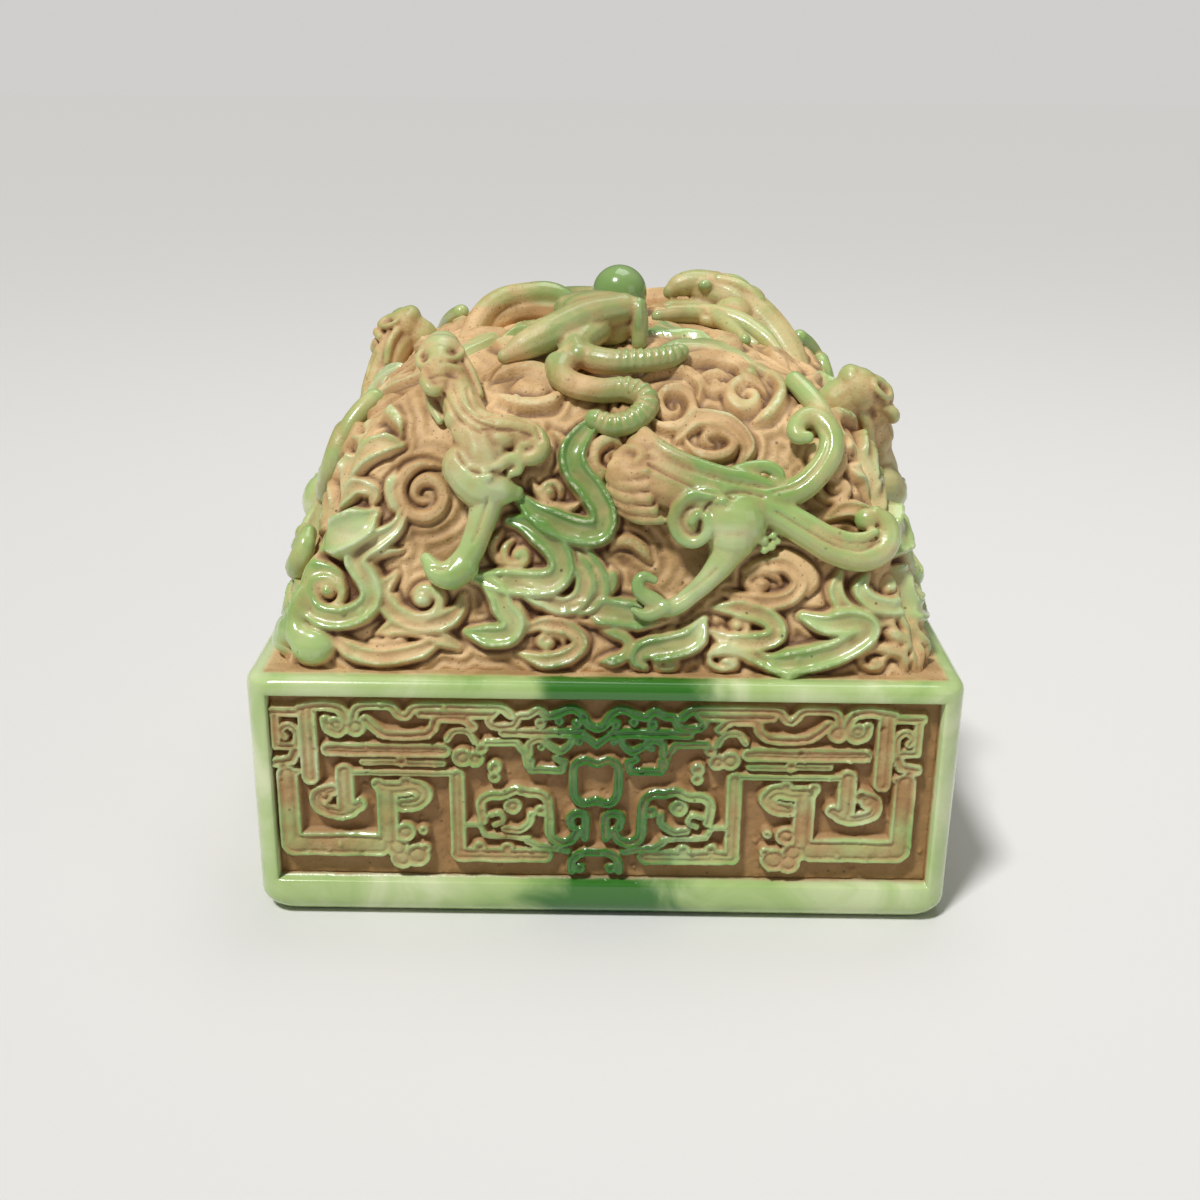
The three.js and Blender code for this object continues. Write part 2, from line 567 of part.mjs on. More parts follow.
// The dragons of the left and right slopes sit lower than those of the front and the back.
["front", "right", "back", "left"].forEach((name, turn) => {
  const lower = turn % 2;
  const foreDrop = lower * FORE_DROP;
  const hindDrop = lower * HIND_DROP;
  const side = new THREE.Group();
  side.rotation.z = (turn * Math.PI) / 2;
  const panel = add(side, name + "_frieze", geometryOf(frieze), PATINA, 0.7);
  panel.rotation.x = Math.PI / 2;
  panel.position.set(0, PANEL_DEPTH - SEAT_GAP - blockHalf, PANEL_FOOT_MARGIN);
  const more = lower ? OVER_STROKES : UNDER_STROKES;
  const clouds = makeClouds([...STROKES, ...more], lower ? 1 : -1);
  add(side, name + "_clouds", geometryOf(clouds), PATINA, 0.7);
  add(side, name + "_forepart", geometryOf(forepart(foreDrop)), JADE);
  add(side, name + "_hindpart", geometryOf(hindpart(hindDrop)), JADE);
  part.add(side);
});

add(part, "crown_body", geometryOf(body), JADE);
add(part, "crown_head", geometryOf(head), JADE);
add(part, "crown_tail", geometryOf(tail), JADE);
add(part, "pearl", geometryOf(pearl), DEEP_JADE, 0.2);

export default part;
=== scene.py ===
# %% [markdown]
# # A dragon seal stamp in cast resin
# The CAD part gives the seal its sizes and its named pieces. This lesson dresses those pieces with the
# carving that the photograph shows: fret panels, scrolls of cloud, climbing dragons and a pearl. The
# carving is drawn as strokes in millimetres and turned into real geometry, and a rubbed patina follows
# from how far each point stands out of its surroundings.
# The same measure also darkens the deepest hollows as painted shade and lays a painted highlight on the crests.

# %% Load the frame
import math
import types
import bmesh
import bpy
import numpy as np
from mathutils import Matrix, Vector


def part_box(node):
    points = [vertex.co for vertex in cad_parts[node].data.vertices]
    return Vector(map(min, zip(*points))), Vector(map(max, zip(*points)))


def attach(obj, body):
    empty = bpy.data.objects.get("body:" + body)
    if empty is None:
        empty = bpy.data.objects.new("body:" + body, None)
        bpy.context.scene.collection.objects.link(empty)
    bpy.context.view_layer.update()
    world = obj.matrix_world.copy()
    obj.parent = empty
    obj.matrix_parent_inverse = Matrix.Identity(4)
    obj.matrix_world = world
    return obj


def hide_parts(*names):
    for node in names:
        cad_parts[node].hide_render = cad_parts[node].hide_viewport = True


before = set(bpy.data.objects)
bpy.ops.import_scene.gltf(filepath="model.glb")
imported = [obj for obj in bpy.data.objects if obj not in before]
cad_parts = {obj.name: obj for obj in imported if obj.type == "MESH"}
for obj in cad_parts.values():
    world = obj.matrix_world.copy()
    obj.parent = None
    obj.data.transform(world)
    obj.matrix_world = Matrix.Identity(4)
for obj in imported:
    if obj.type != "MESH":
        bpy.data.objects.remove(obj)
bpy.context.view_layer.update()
MM = 0.001

# %% [markdown]
# ## Sizes
# These are the sizes of the part that the carving has to sit on. The slope of the mound leans inwards
# and bends over into a dome without a crease. The carving is drawn by its rise up the slope, and the
# last part of that drawing is draped over the dome.

# %% Sizes of the part
BLOCK_HALF = 50.0
BLOCK_TOP = 37.5
CORNER_ROUND = 4.0
FOOT_ROUND = 3.5
TOP_ROUND = 1.5
PANEL_HALF = 46.8
PANEL_FOOT = 6.0
PANEL_HEAD = 34.9
PANEL_FLOOR = 47.6
STAMP_HALF = 41.0
STAMP_DEPTH = 3.0
MOUND_HALF = 46.0
LEAN = math.radians(18.1)
SLOPE_RISE = 27.0
DOME_TOP = 80.0
DOME_START = math.radians(8.2)
DOME_DRAWN = 25.4
DOME_HALF = (MOUND_HALF - SLOPE_RISE * math.tan(LEAN)) / math.cos(DOME_START)
DOME_TALL = (DOME_TOP - BLOCK_TOP - SLOPE_RISE) / (1 - math.sin(DOME_START))
MOUND_CORNER = 6.0
FORE_DROP = 7.0
HIND_DROP = 4.9
SIDES = ("front", "right", "back", "left")
print("dome half width", round(DOME_HALF, 2), "mm, height", round(DOME_TALL, 2), "mm")

# %% [markdown]
# ## Camera
# The camera was solved from the corners of the front panel, so the render can be laid over the
# photograph. It stands about 184 mm from the front face and looks down by 20 degrees.

# %% Camera
CAMERA_PLACE = Vector((0.2, -234.3, 118.2)) * MM
YAW = math.radians(-0.31)
PITCH = math.radians(20.38)
ROLL = math.radians(0.61)
FOCAL_SHARE = 1469 / 1200
forward = Vector((math.sin(YAW) * math.cos(PITCH), math.cos(YAW) * math.cos(PITCH), -math.sin(PITCH)))
level = Vector((math.cos(YAW), -math.sin(YAW), 0))
zenith = level.cross(forward)
right = math.cos(ROLL) * level + math.sin(ROLL) * zenith
upward = -math.sin(ROLL) * level + math.cos(ROLL) * zenith
lens = bpy.data.cameras.new("photo_camera")
lens.sensor_width = 36
lens.lens = 36 * FOCAL_SHARE
lens.clip_start = 0.01
camera = bpy.data.objects.new("photo_camera", lens)
camera.matrix_world = Matrix((right, upward, -forward)).transposed().to_4x4()
camera.matrix_world.translation = CAMERA_PLACE
bpy.context.scene.collection.objects.link(camera)
bpy.context.scene.camera = camera
bpy.context.scene.view_settings.view_transform = "Standard"
print("lens", round(lens.lens, 1), "mm")

# %% [markdown]
# ## Studio
# A pale floor, a large soft light from the upper left, a weaker one from the right and a softbox
# overhead that gives the polished resin its highlights.

# %% Floor and lights
def aim_light(lamp, place):
    light = bpy.data.objects.new(lamp.name, lamp)
    aim = Vector((0, 0, 0.04)) - Vector(place)
    light.rotation_euler = aim.to_track_quat("-Z", "Y").to_euler()
    light.location = place
    bpy.context.scene.collection.objects.link(light)
    return light


def add_area_light(name, place, size, watts):
    lamp = bpy.data.lights.new(name, "AREA")
    lamp.size = size
    lamp.energy = watts
    return aim_light(lamp, place)


daylight = bpy.data.lights.new("key_light", "SUN")
daylight.energy = 2.9
daylight.angle = math.radians(9)
key_light = aim_light(daylight, (-0.25, -0.34, 0.75))
fill_light = add_area_light("fill_light", (0.45, -0.34, 0.26), 0.30, 0.25)
top_light = add_area_light("top_light", (0.05, 0.10, 0.50), 0.26, 0.6)

floor_mesh = bpy.data.meshes.new("floor")
floor_form = bmesh.new()
bmesh.ops.create_grid(floor_form, x_segments=1, y_segments=1, size=4.0)
floor_form.to_mesh(floor_mesh)
floor_form.free()
floor = bpy.data.objects.new("floor", floor_mesh)
bpy.context.scene.collection.objects.link(floor)

floor_paint = bpy.data.materials.new("floor_paint")
floor_paint.use_nodes = True
floor_shader = floor_paint.node_tree.nodes["Principled BSDF"]
floor_shader.inputs["Base Color"].default_value = (0.72, 0.71, 0.69, 1)
floor_shader.inputs["Roughness"].default_value = 0.8
floor_mesh.materials.append(floor_paint)

world = bpy.data.worlds.new("studio_world")
bpy.context.scene.world = world
world.use_nodes = True
backdrop = world.node_tree.nodes["Background"]
backdrop.inputs["Color"].default_value = (0.86, 0.85, 0.83, 1)
rays = world.node_tree.nodes.new("ShaderNodeLightPath")
strength = world.node_tree.nodes.new("ShaderNodeMapRange")
strength.inputs["To Min"].default_value = 0.15
strength.inputs["To Max"].default_value = 0.73
world.node_tree.links.new(rays.outputs["Is Camera Ray"], strength.inputs["Value"])
world.node_tree.links.new(strength.outputs["Result"], backdrop.inputs["Strength"])
print("lights", [light.name for light in (key_light, fill_light, top_light)])

# %% [markdown]
# ## Node helpers
# Every effect is a small shader node group with named inputs and outputs. These helpers make a node,
# set its sockets and join it to what feeds it.

# %% Node helpers
def add_node(tree, kind, settings=None, values=None):
    made = tree.nodes.new(kind)
    for name, value in (settings or {}).items():
        setattr(made, name, value)
    for name, value in (values or {}).items():
        if isinstance(value, bpy.types.NodeSocket):
            tree.links.new(value, made.inputs[name])
        else:
            made.inputs[name].default_value = value
    return made


def math_node(tree, operation, first, second):
    return add_node(tree, "ShaderNodeMath", {"operation": operation}, {0: first, 1: second}).outputs[0]


def blend(tree, share, low, high):
    mixer = add_node(tree, "ShaderNodeMix", {"data_type": "RGBA"}, {0: share, 6: low, 7: high})
    return mixer.outputs[2]


def fade(tree, value, low, high, start=0.0, end=1.0):
    ranger = add_node(tree, "ShaderNodeMapRange", {"interpolation_type": "SMOOTHSTEP"})
    tree.links.new(value, ranger.inputs["Value"])
    ranger.inputs["From Min"].default_value = low
    ranger.inputs["From Max"].default_value = high
    ranger.inputs["To Min"].default_value = start
    ranger.inputs["To Max"].default_value = end
    return ranger.outputs["Result"]


def cloud_noise(tree, place, scale, detail=3.0, twist=0.0):
    values = {"Vector": place, "Scale": scale, "Detail": detail, "Distortion": twist}
    return add_node(tree, "ShaderNodeTexNoise", None, values).outputs["Fac"]


def new_group(name, inputs, outputs):
    tree = bpy.data.node_groups.new(name, "ShaderNodeTree")
    for label, kind, value in inputs:
        socket = tree.interface.new_socket(label, in_out="INPUT", socket_type=kind)
        socket.default_value = value
    for label, kind in outputs:
        tree.interface.new_socket(label, in_out="OUTPUT", socket_type=kind)
    return tree, tree.nodes.new("NodeGroupInput"), tree.nodes.new("NodeGroupOutput")


print("node helpers ready")

# %% [markdown]
# ## Jade and patina
# The resin is marbled from milky mint to emerald, with one dark vein through the middle of the seal.
# The patina is a beige film peppered with specks. It turns dark brown in the deepest hollows, and that
# dark brown is painted shade. It also gives pale specks on worn tops, pale dust that is also a painted
# highlight on the crests, and the dark pits of burst bubbles. The third group decides where the film
# has been rubbed off: on everything that stands out. An image could carry all this, but a value
# measured on the mesh follows every change of the carving.

# %% Jade group
JADE_SHADE = (0.20, 0.37, 0.085, 1)
JADE_MINT = (0.40, 0.54, 0.20, 1)
JADE_MILK = (0.66, 0.73, 0.43, 1)
JADE_VEIN = (0.034, 0.160, 0.016, 1)


def make_jade_group():
    inputs = (("Vein", "NodeSocketFloat", 1.0), ("Milk", "NodeSocketFloat", 0.0))
    tree, entry, leave = new_group("jade_marble", inputs, (("Colour", "NodeSocketColor"),))
    place = add_node(tree, "ShaderNodeTexCoord").outputs["Object"]
    marble = cloud_noise(tree, place, 42.0, 5.0, 1.4)
    shade = math_node(tree, "ADD", marble, math_node(tree, "MULTIPLY", entry.outputs["Milk"], 0.25))
    mint = blend(tree, fade(tree, shade, 0.34, 0.58), JADE_SHADE, JADE_MINT)
    milky = blend(tree, fade(tree, shade, 0.54, 0.84), mint, JADE_MILK)
    across = add_node(tree, "ShaderNodeSeparateXYZ", None, {"Vector": place}).outputs["X"]
    drift = math_node(tree, "MULTIPLY", cloud_noise(tree, place, 70.0, 4.0, 0.8), 0.030)
    wander = math_node(tree, "SUBTRACT", drift, 0.017)
    middle = math_node(tree, "ABSOLUTE", math_node(tree, "ADD", across, wander), 0.0)
    vein = math_node(tree, "MULTIPLY", fade(tree, middle, 0.016, 0.006), entry.outputs["Vein"])
    tree.links.new(blend(tree, vein, milky, JADE_VEIN), leave.inputs["Colour"])
    return tree


jade_group = make_jade_group()
print("group", jade_group.name)

# %% Patina group
FILM_DARK = (0.50, 0.305, 0.128, 1)
FILM_PALE = (0.72, 0.490, 0.245, 1)
FILM_SPECK = (0.28, 0.16, 0.07, 1)
# painted shade: the film's colour as it looks in shadow, used in the deepest hollows
HOLLOW_SHADE = (0.13, 0.056, 0.020, 1)
PANEL_BROWN = (0.30, 0.160, 0.055, 1)


def make_patina_group():
    inputs = (("Wear_and_painted_light", "NodeSocketFloat", 0.5), ("Brown", "NodeSocketFloat", 0.0))
    outputs = (("Colour", "NodeSocketColor"), ("Grain", "NodeSocketFloat"), ("Dust_highlight", "NodeSocketFloat"),
               ("Pits", "NodeSocketFloat"))
    tree, entry, leave = new_group("patina_film", inputs, outputs)
    place = add_node(tree, "ShaderNodeTexCoord").outputs["Object"]
    cloudy = cloud_noise(tree, place, 160.0, 4.0, 0.5)
    grain = cloud_noise(tree, place, 2600.0, 2.0, 0.0)
    film = blend(tree, fade(tree, cloudy, 0.35, 0.65), FILM_DARK, FILM_PALE)
    speck = blend(tree, fade(tree, grain, 0.36, 0.28), film, FILM_SPECK)
    # painted shade: where a point sinks below its surroundings the film is darkened towards dark brown
    depth = math_node(tree, "ADD", entry.outputs["Wear_and_painted_light"], math_node(tree, "MULTIPLY", cloudy, 0.2))
    hollow = blend(tree, fade(tree, depth, 0.24, 0.66), HOLLOW_SHADE, speck)
    hollow = blend(tree, entry.outputs["Brown"], hollow, PANEL_BROWN)
    # pale specks on the crests that stand out most: pale dust, and also a painted highlight on the crest tops
    dust_highlight_specks = fade(tree, cloud_noise(tree, place, 1500.0, 2.0, 0.0), 0.44, 0.60)
    dust_highlight_mask = math_node(tree, "MULTIPLY", fade(tree, entry.outputs["Wear_and_painted_light"], 0.66, 0.92), dust_highlight_specks)
    tree.links.new(dust_highlight_mask, leave.inputs["Dust_highlight"])
    bubbles = add_node(tree, "ShaderNodeTexVoronoi", None, {"Vector": place, "Scale": 300.0})
    tree.links.new(fade(tree, bubbles.outputs["Distance"], 0.085, 0.055), leave.inputs["Pits"])
    tree.links.new(hollow, leave.inputs["Colour"])
    tree.links.new(grain, leave.inputs["Grain"])
    return tree


patina_group = make_patina_group()
print("group", patina_group.name)

# %% Rubbing group
def make_rub_group():
    inputs = (("Wear_and_painted_light", "NodeSocketFloat", 0.5), ("Polish", "NodeSocketFloat", 0.5))
    tree, entry, leave = new_group("rubbed_share", inputs, (("Share", "NodeSocketFloat"),))
    place = add_node(tree, "ShaderNodeTexCoord").outputs["Object"]
    patchy = math_node(tree, "MULTIPLY", cloud_noise(tree, place, 240.0, 4.0, 0.6), 0.55)
    raised = math_node(tree, "ADD", entry.outputs["Wear_and_painted_light"], entry.outputs["Polish"])
    total = math_node(tree, "ADD", raised, patchy)
    tree.links.new(fade(tree, total, 0.95, 1.60), leave.inputs["Share"])
    return tree


rub_group = make_rub_group()
print("group", rub_group.name)

# %% [markdown]
# ## Resin materials
# Each material places the three groups with its own values. The rubbed share also makes the surface
# smoother and gives it a clear coat, so only the bare resin shines.

# %% Resin materials
# pale dust colour, also used as a painted highlight on the crest tops
PALE_DUST_AND_HIGHLIGHT = (0.74, 0.72, 0.50, 1)
PIT = (0.045, 0.022, 0.008, 1)


def place_group(tree, group, values):
    return add_node(tree, "ShaderNodeGroup", {"node_tree": group}, values)


def make_resin(name, polish, vein, milk, pits_dust_highlight):
    material = bpy.data.materials.new(name)
    material.use_nodes = True
    tree = material.node_tree
    shader = tree.nodes["Principled BSDF"]
    # the wear attribute also drives painted shade in the hollows and painted highlight on the crests
    wear_and_painted_light = add_node(tree, "ShaderNodeAttribute", {"attribute_name": "wear_and_painted_light"}).outputs["Fac"]
    drawn = add_node(tree, "ShaderNodeAttribute", {"attribute_name": "polish"}).outputs["Fac"]
    sunk = add_node(tree, "ShaderNodeAttribute", {"attribute_name": "sunk"}).outputs["Fac"]
    level_of_polish = math_node(tree, "ADD", drawn, polish)
    share = place_group(tree, rub_group, {"Wear_and_painted_light": wear_and_painted_light, "Polish": level_of_polish}).outputs["Share"]
    jade = place_group(tree, jade_group, {"Vein": vein, "Milk": milk}).outputs["Colour"]
    film = place_group(tree, patina_group, {"Wear_and_painted_light": wear_and_painted_light, "Brown": sunk})
    rubbed = blend(tree, share, film.outputs["Colour"], jade)
    # pale specks on worn crests, pale dust and painted highlight together, then the dark bubble pits
    dust_highlight_mask = math_node(tree, "MULTIPLY", film.outputs["Dust_highlight"], pits_dust_highlight)
    pits = math_node(tree, "MULTIPLY", film.outputs["Pits"], pits_dust_highlight)
    dusted_and_highlit = blend(tree, dust_highlight_mask, rubbed, PALE_DUST_AND_HIGHLIGHT)
    tree.links.new(blend(tree, pits, dusted_and_highlit, PIT), shader.inputs["Base Color"])
    tree.links.new(fade(tree, share, 0.0, 1.0, 0.62, 0.20), shader.inputs["Roughness"])
    tree.links.new(fade(tree, share, 0.3, 1.0, 0.0, 0.5), shader.inputs["Coat Weight"])
    shader.inputs["Coat Roughness"].default_value = 0.08
    rough = math_node(tree, "MULTIPLY", film.outputs["Grain"], fade(tree, share, 0.0, 1.0, 1.0, 0.12))
    bump = add_node(tree, "ShaderNodeBump", None, {"Height": rough, "Strength": 0.45, "Distance": 0.0002})
    tree.links.new(bump.outputs["Normal"], shader.inputs["Normal"])
    return material


block_resin = make_resin("block_resin", 0.30, 1.0, 0.55, 0.0)
frieze_resin = make_resin("frieze_resin", 0.0, 1.0, 0.0, 0.5)
cloud_resin = make_resin("cloud_resin", 0.0, 0.5, 0.35, 0.65)
dragon_resin = make_resin("dragon_resin", 0.0, 0.40, 0.28, 0.35)
pearl_resin = make_resin("pearl_resin", 0.6, 0.5, 0.0, 0.0)
print("materials", [m.name for m in (block_resin, frieze_resin, cloud_resin, dragon_resin, pearl_resin)])

# %% [markdown]
# ## Strokes
# The carver's tool leaves bands and curls. A stroke is a path of drawn points in millimetres, and the
# helpers below smooth it, measure how far each point of a surface is from it, and raise a ridge or a
# boss there. A broad ridge is a ribbon with a rim along both edges, and finer lines follow the ridges
# in the ground between them. Sculpting by hand could do the same, but strokes give the same relief in
# every run.

# %% Paths and distances
def ease(share):
    return share * share * (3 - 2 * share)


def smooth_path(points, spans=7):
    drawn = np.array(points, float)
    ends = np.vstack([2 * drawn[0] - drawn[1], drawn, 2 * drawn[-1] - drawn[-2]])
    t = np.linspace(0, 1, spans, endpoint=False)[:, None]
    rows = []
    for a, b, c, d in zip(ends, ends[1:], ends[2:], ends[3:]):
        rows.append(b + 0.5 * t * (c - a + t * (2 * a - 5 * b + 4 * c - d + t * (3 * b - a - 3 * c + d))))
    return np.vstack(rows + [drawn[-1:]])


def along_path(where, path):
    nearest = np.full(len(where), 1e9)
    share = np.zeros(len(where))
    steps = np.linalg.norm(np.diff(path, axis=0), axis=1)
    reach = np.concatenate([[0], np.cumsum(steps)])
    for start, end, step, done in zip(path, path[1:], steps, reach):
        run = end - start
        t = np.clip((where - start) @ run / max(step * step, 1e-12), 0, 1)
        away = np.linalg.norm(where - start - t[:, None] * run, axis=1)
        closer = away < nearest
        nearest[closer] = away[closer]
        share[closer] = (done + t[closer] * step) / reach[-1]
    return nearest, share


def spiral(x, z, wide, tall, turns, start):
    points = []
    for step in range(int(turns * 10) + 1):
        turn = step / 10
        size = 1 - 0.78 * turn / turns
        angle = math.radians(start) + turn * 2 * math.pi
        points.append((x + wide * size * math.cos(angle), z + tall * size * math.sin(angle)))
    return points


def soft_noise(where, size, seed):
    table = np.random.default_rng(seed).random((64, 64))
    cell = where / size
    base = np.floor(cell).astype(int)
    t = ease(cell - base)
    i, j = base[:, 0] % 64, base[:, 1] % 64
    k, m = (i + 1) % 64, (j + 1) % 64
    low = table[i, j] * (1 - t[:, 0]) + table[k, j] * t[:, 0]
    high = table[i, m] * (1 - t[:, 0]) + table[k, m] * t[:, 0]
    return low * (1 - t[:, 1]) + high * t[:, 1] - 0.5


print("a path of 3 points becomes", len(smooth_path([(0, 0), (1, 1), (2, 0)])), "points")

# %% Ridges and bosses
LINED_FROM = 1.1
BROADEN = 1.42
NARROW_BROADEN = 1.2
FOLLOW_REACH = 5.0
FOLLOW_STEP = 1.75


def new_sheet(where):
    blank = np.zeros(len(where))
    return types.SimpleNamespace(where=where, height=blank, polish=blank.copy(), edge=blank + FOLLOW_REACH)


def lift_to(sheet, index, bump, polish):
    higher = bump > sheet.height[index]
    sheet.height[index[higher]] = bump[higher]
    sheet.polish[index[higher]] = polish


def near_path(where, path, margin):
    inside = (where > path.min(0) - margin) & (where < path.max(0) + margin)
    return np.flatnonzero(inside.all(axis=1))


def raise_ridge(sheet, half, height, polish, points):
    path = smooth_path(points)
    half = half * (BROADEN if half > 0.85 else NARROW_BROADEN)
    index = near_path(sheet.where, path, half + FOLLOW_REACH)
    away, share = along_path(sheet.where[index], path)
    taper = np.minimum(1, 0.35 + 3.5 * np.minimum(share, 1 - share))
    sheet.edge[index] = np.minimum(sheet.edge[index], away - half * taper)
    away = away / (half * taper)
    wall = np.clip((1.10 - away) / 0.42, 0, 1)
    bump = height * np.sqrt(taper) * ease(wall)
    if half > LINED_FROM:
        bump *= 0.74 + 0.30 * np.exp(-((away - 0.68) / 0.24) ** 2) + 0.05 * away
    lift_to(sheet, index, bump, polish)


def raise_boss(sheet, x, z, wide, tall, height, polish):
    reach = ((sheet.where - (x, z)) / (wide, tall)) ** 2
    reach = reach.sum(axis=1)
    sheet.edge = np.minimum(sheet.edge, (np.sqrt(reach) - 1) * min(wide, tall))
    index = np.flatnonzero(reach < 1)
    lift_to(sheet, index, height * np.sqrt(1 - reach[index]), polish)


def follow_lines(sheet, height, polish):
    drift = sheet.edge + 1.1 * soft_noise(sheet.where, 3.8, 31)
    wave = 0.5 + 0.5 * np.cos(2 * math.pi * (drift / FOLLOW_STEP - 0.5))
    fading = np.clip(1.15 - sheet.edge / FOLLOW_REACH, 0.3, 1)
    between = np.flatnonzero(sheet.edge > 0.1)
    lift_to(sheet, between, (height * wave * fading)[between], polish)


def scatter(sheet, count, low, high, size, depth, seed):
    dice = np.random.default_rng(seed)
    for place in dice.uniform(low, high, (count, 2)):
        radius = dice.uniform(0.5, 1.0) * size
        reach = ((sheet.where - place) ** 2).sum(axis=1) / radius ** 2
        index = np.flatnonzero(reach < 1)
        sheet.height[index] += depth * radius * np.sqrt(1 - reach[index])


print("ridges, bosses, lines that follow them and scattered beads ready")

# %% [markdown]
# ## Surfaces
# A carved sheet starts as a plain grid. Its vertices are moved to their places, its open border is
# drawn back to close it, and the wear of each vertex is how far it stands out of a smoothed copy. The
# same value darkens the deepest hollows as painted shade and lights the crests as painted highlight.

# %% Grids, borders and wear
def grid_mesh(name, columns, rows):
    form = bmesh.new()
    bmesh.ops.create_grid(form, x_segments=columns, y_segments=rows, size=1.0)
    mesh = bpy.data.meshes.new(name)
    form.to_mesh(mesh)
    form.free()
    return mesh


def read_places(mesh):
    flat = np.empty(len(mesh.vertices) * 3)
    mesh.vertices.foreach_get("co", flat)
    return flat.reshape(-1, 3)


def write_places(mesh, places):
    mesh.vertices.foreach_set("co", places.astype(float).ravel())
    mesh.update()


def read_normals(mesh):
    flat = np.empty(len(mesh.vertices) * 3)
    mesh.vertex_normals.foreach_get("vector", flat)
    return flat.reshape(-1, 3)


def read_edges(mesh):
    flat = np.empty(len(mesh.edges) * 2, int)
    mesh.edges.foreach_get("vertices", flat)
    return flat.reshape(-1, 2)


def relax(values, edges, rounds, share=0.6):
    first, second = np.concatenate([edges[:, 0], edges[:, 1]]), np.concatenate([edges[:, 1], edges[:, 0]])
    links = np.maximum(np.bincount(first, minlength=len(values)), 1)[:, None]
    for _ in range(rounds):
        total = np.empty_like(values)
        for axis in range(values.shape[1]):
            total[:, axis] = np.bincount(first, values[second, axis], minlength=len(values))
        values = values + share * (total / links - values)
    return values


# How far each point stands out of a smoothed copy: this sets where the film rubs off, and also where painted
# shade and painted highlight go.
def measure_standing_out(mesh, rounds, range_mm):
    places = read_places(mesh)
    around = relax(places, read_edges(mesh), rounds)
    stands_out = ((places - around) * read_normals(mesh)).sum(axis=1) / (range_mm * MM)
    return np.clip(0.5 + 0.5 * stands_out, 0, 1)


def set_attribute(mesh, name, values):
    layer = mesh.attributes.new(name, "FLOAT", "POINT")
    padded = np.full(len(mesh.vertices), 0.5)
    padded[:len(values)] = values
    layer.data.foreach_set("value", padded)


def close_border(mesh, places_of_rim):
    form = bmesh.new()
    form.from_mesh(mesh)
    rim = [edge for edge in form.edges if edge.is_boundary]
    for edge in rim:
        edge.smooth = False
    grown = bmesh.ops.extrude_edge_only(form, edges=rim)["geom"]
    corners = [item for item in grown if isinstance(item, bmesh.types.BMVert)]
    places_of_rim(form, corners)
    bmesh.ops.recalc_face_normals(form, faces=form.faces)
    form.to_mesh(mesh)
    form.free()
    mesh.update()


def shade_smooth(mesh):
    mesh.polygons.foreach_set("use_smooth", np.ones(len(mesh.polygons), bool))
    mesh.update()


print("a grid of 2 by 2 has", len(grid_mesh("probe", 2, 2).vertices), "vertices")

# %% Pieces and their copies round the seal
def add_piece(name, mesh, material, slot, *nodes):
    mesh.materials.clear()
    mesh.materials.append(material)
    shade_smooth(mesh)
    piece = bpy.data.objects.new(name, mesh)
    bpy.context.scene.collection.objects.link(piece)
    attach(piece, "root")
    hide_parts(*nodes)
    return piece


def add_round(kind, meshes, material, slot):
    pieces = []
    for turn, side in enumerate(SIDES):
        copy = meshes[turn % len(meshes)].copy()
        copy.transform(Matrix.Rotation(turn * math.pi / 2, 4, "Z"))
        pieces.append(add_piece("carved_" + side + "_" + kind, copy, material, slot, side + "_" + kind))
    print(kind, "on four sides,", len(meshes[0].polygons), "faces each")
    return pieces


def settled(shape, modifiers=()):
    holder = bpy.data.objects.new("probe", shape)
    bpy.context.scene.collection.objects.link(holder)
    for kind, settings in modifiers:
        made = holder.modifiers.new(kind.lower(), kind)
        for name, value in settings.items():
            setattr(made, name, value)
    graph = bpy.context.evaluated_depsgraph_get()
    graph.update()
    result = bpy.data.meshes.new_from_object(holder.evaluated_get(graph))
    bpy.data.objects.remove(holder)
    return result


print("pieces will ride on root")

# %% [markdown]
# ## Block
# The block is a grid wrapped round a square with rounded corners. Its rows run from the recess under
# the block, over the foot and up the sides, and across the top to the mound. Points inside a panel are
# set back. The rim is bare polished resin, and the film stays in the recesses and on the ledge.

# %% Block
LEDGE_FILM = 2.2
RIM_ROUND = 0.5


def square_outline(across, half, corner, last=math.pi / 4):
    straight = half - corner
    reach = across * (straight + corner * math.pi / 4)
    bend = np.clip((np.abs(reach) - straight) / corner, 0, last)
    x = np.sign(reach) * (np.minimum(np.abs(reach), straight) + corner * np.sin(bend))
    return reach, x, corner * (1 - np.cos(bend)) - half


def stops_round(low, high, spacing):
    edge = np.array((0.05, 0.2, 0.45))
    between = np.linspace(low + 1, high - 1, int((high - low) / spacing))
    return np.concatenate([low - edge[::-1], low + edge, between, high - edge[::-1], high + edge])


def block_rows():
    foot = np.linspace(0, math.pi / 2, 8)
    top = np.linspace(0, math.pi / 2, 6)
    rows = [(STAMP_HALF, STAMP_DEPTH), (STAMP_HALF, 0.3), (STAMP_HALF + 0.3, 0.0)]
    rows += zip(BLOCK_HALF - FOOT_ROUND * (1 - np.sin(foot)), FOOT_ROUND * (1 - np.cos(foot)))
    rows += [(BLOCK_HALF, z) for z in stops_round(PANEL_FOOT, PANEL_HEAD, 2.0)]
    rows += zip(BLOCK_HALF - TOP_ROUND * (1 - np.cos(top)), BLOCK_TOP - TOP_ROUND * (1 - np.sin(top)))
    rows += [(half, BLOCK_TOP) for half in np.linspace(BLOCK_HALF - TOP_ROUND - 0.3, MOUND_HALF - 4, 16)]
    return np.array(rows)


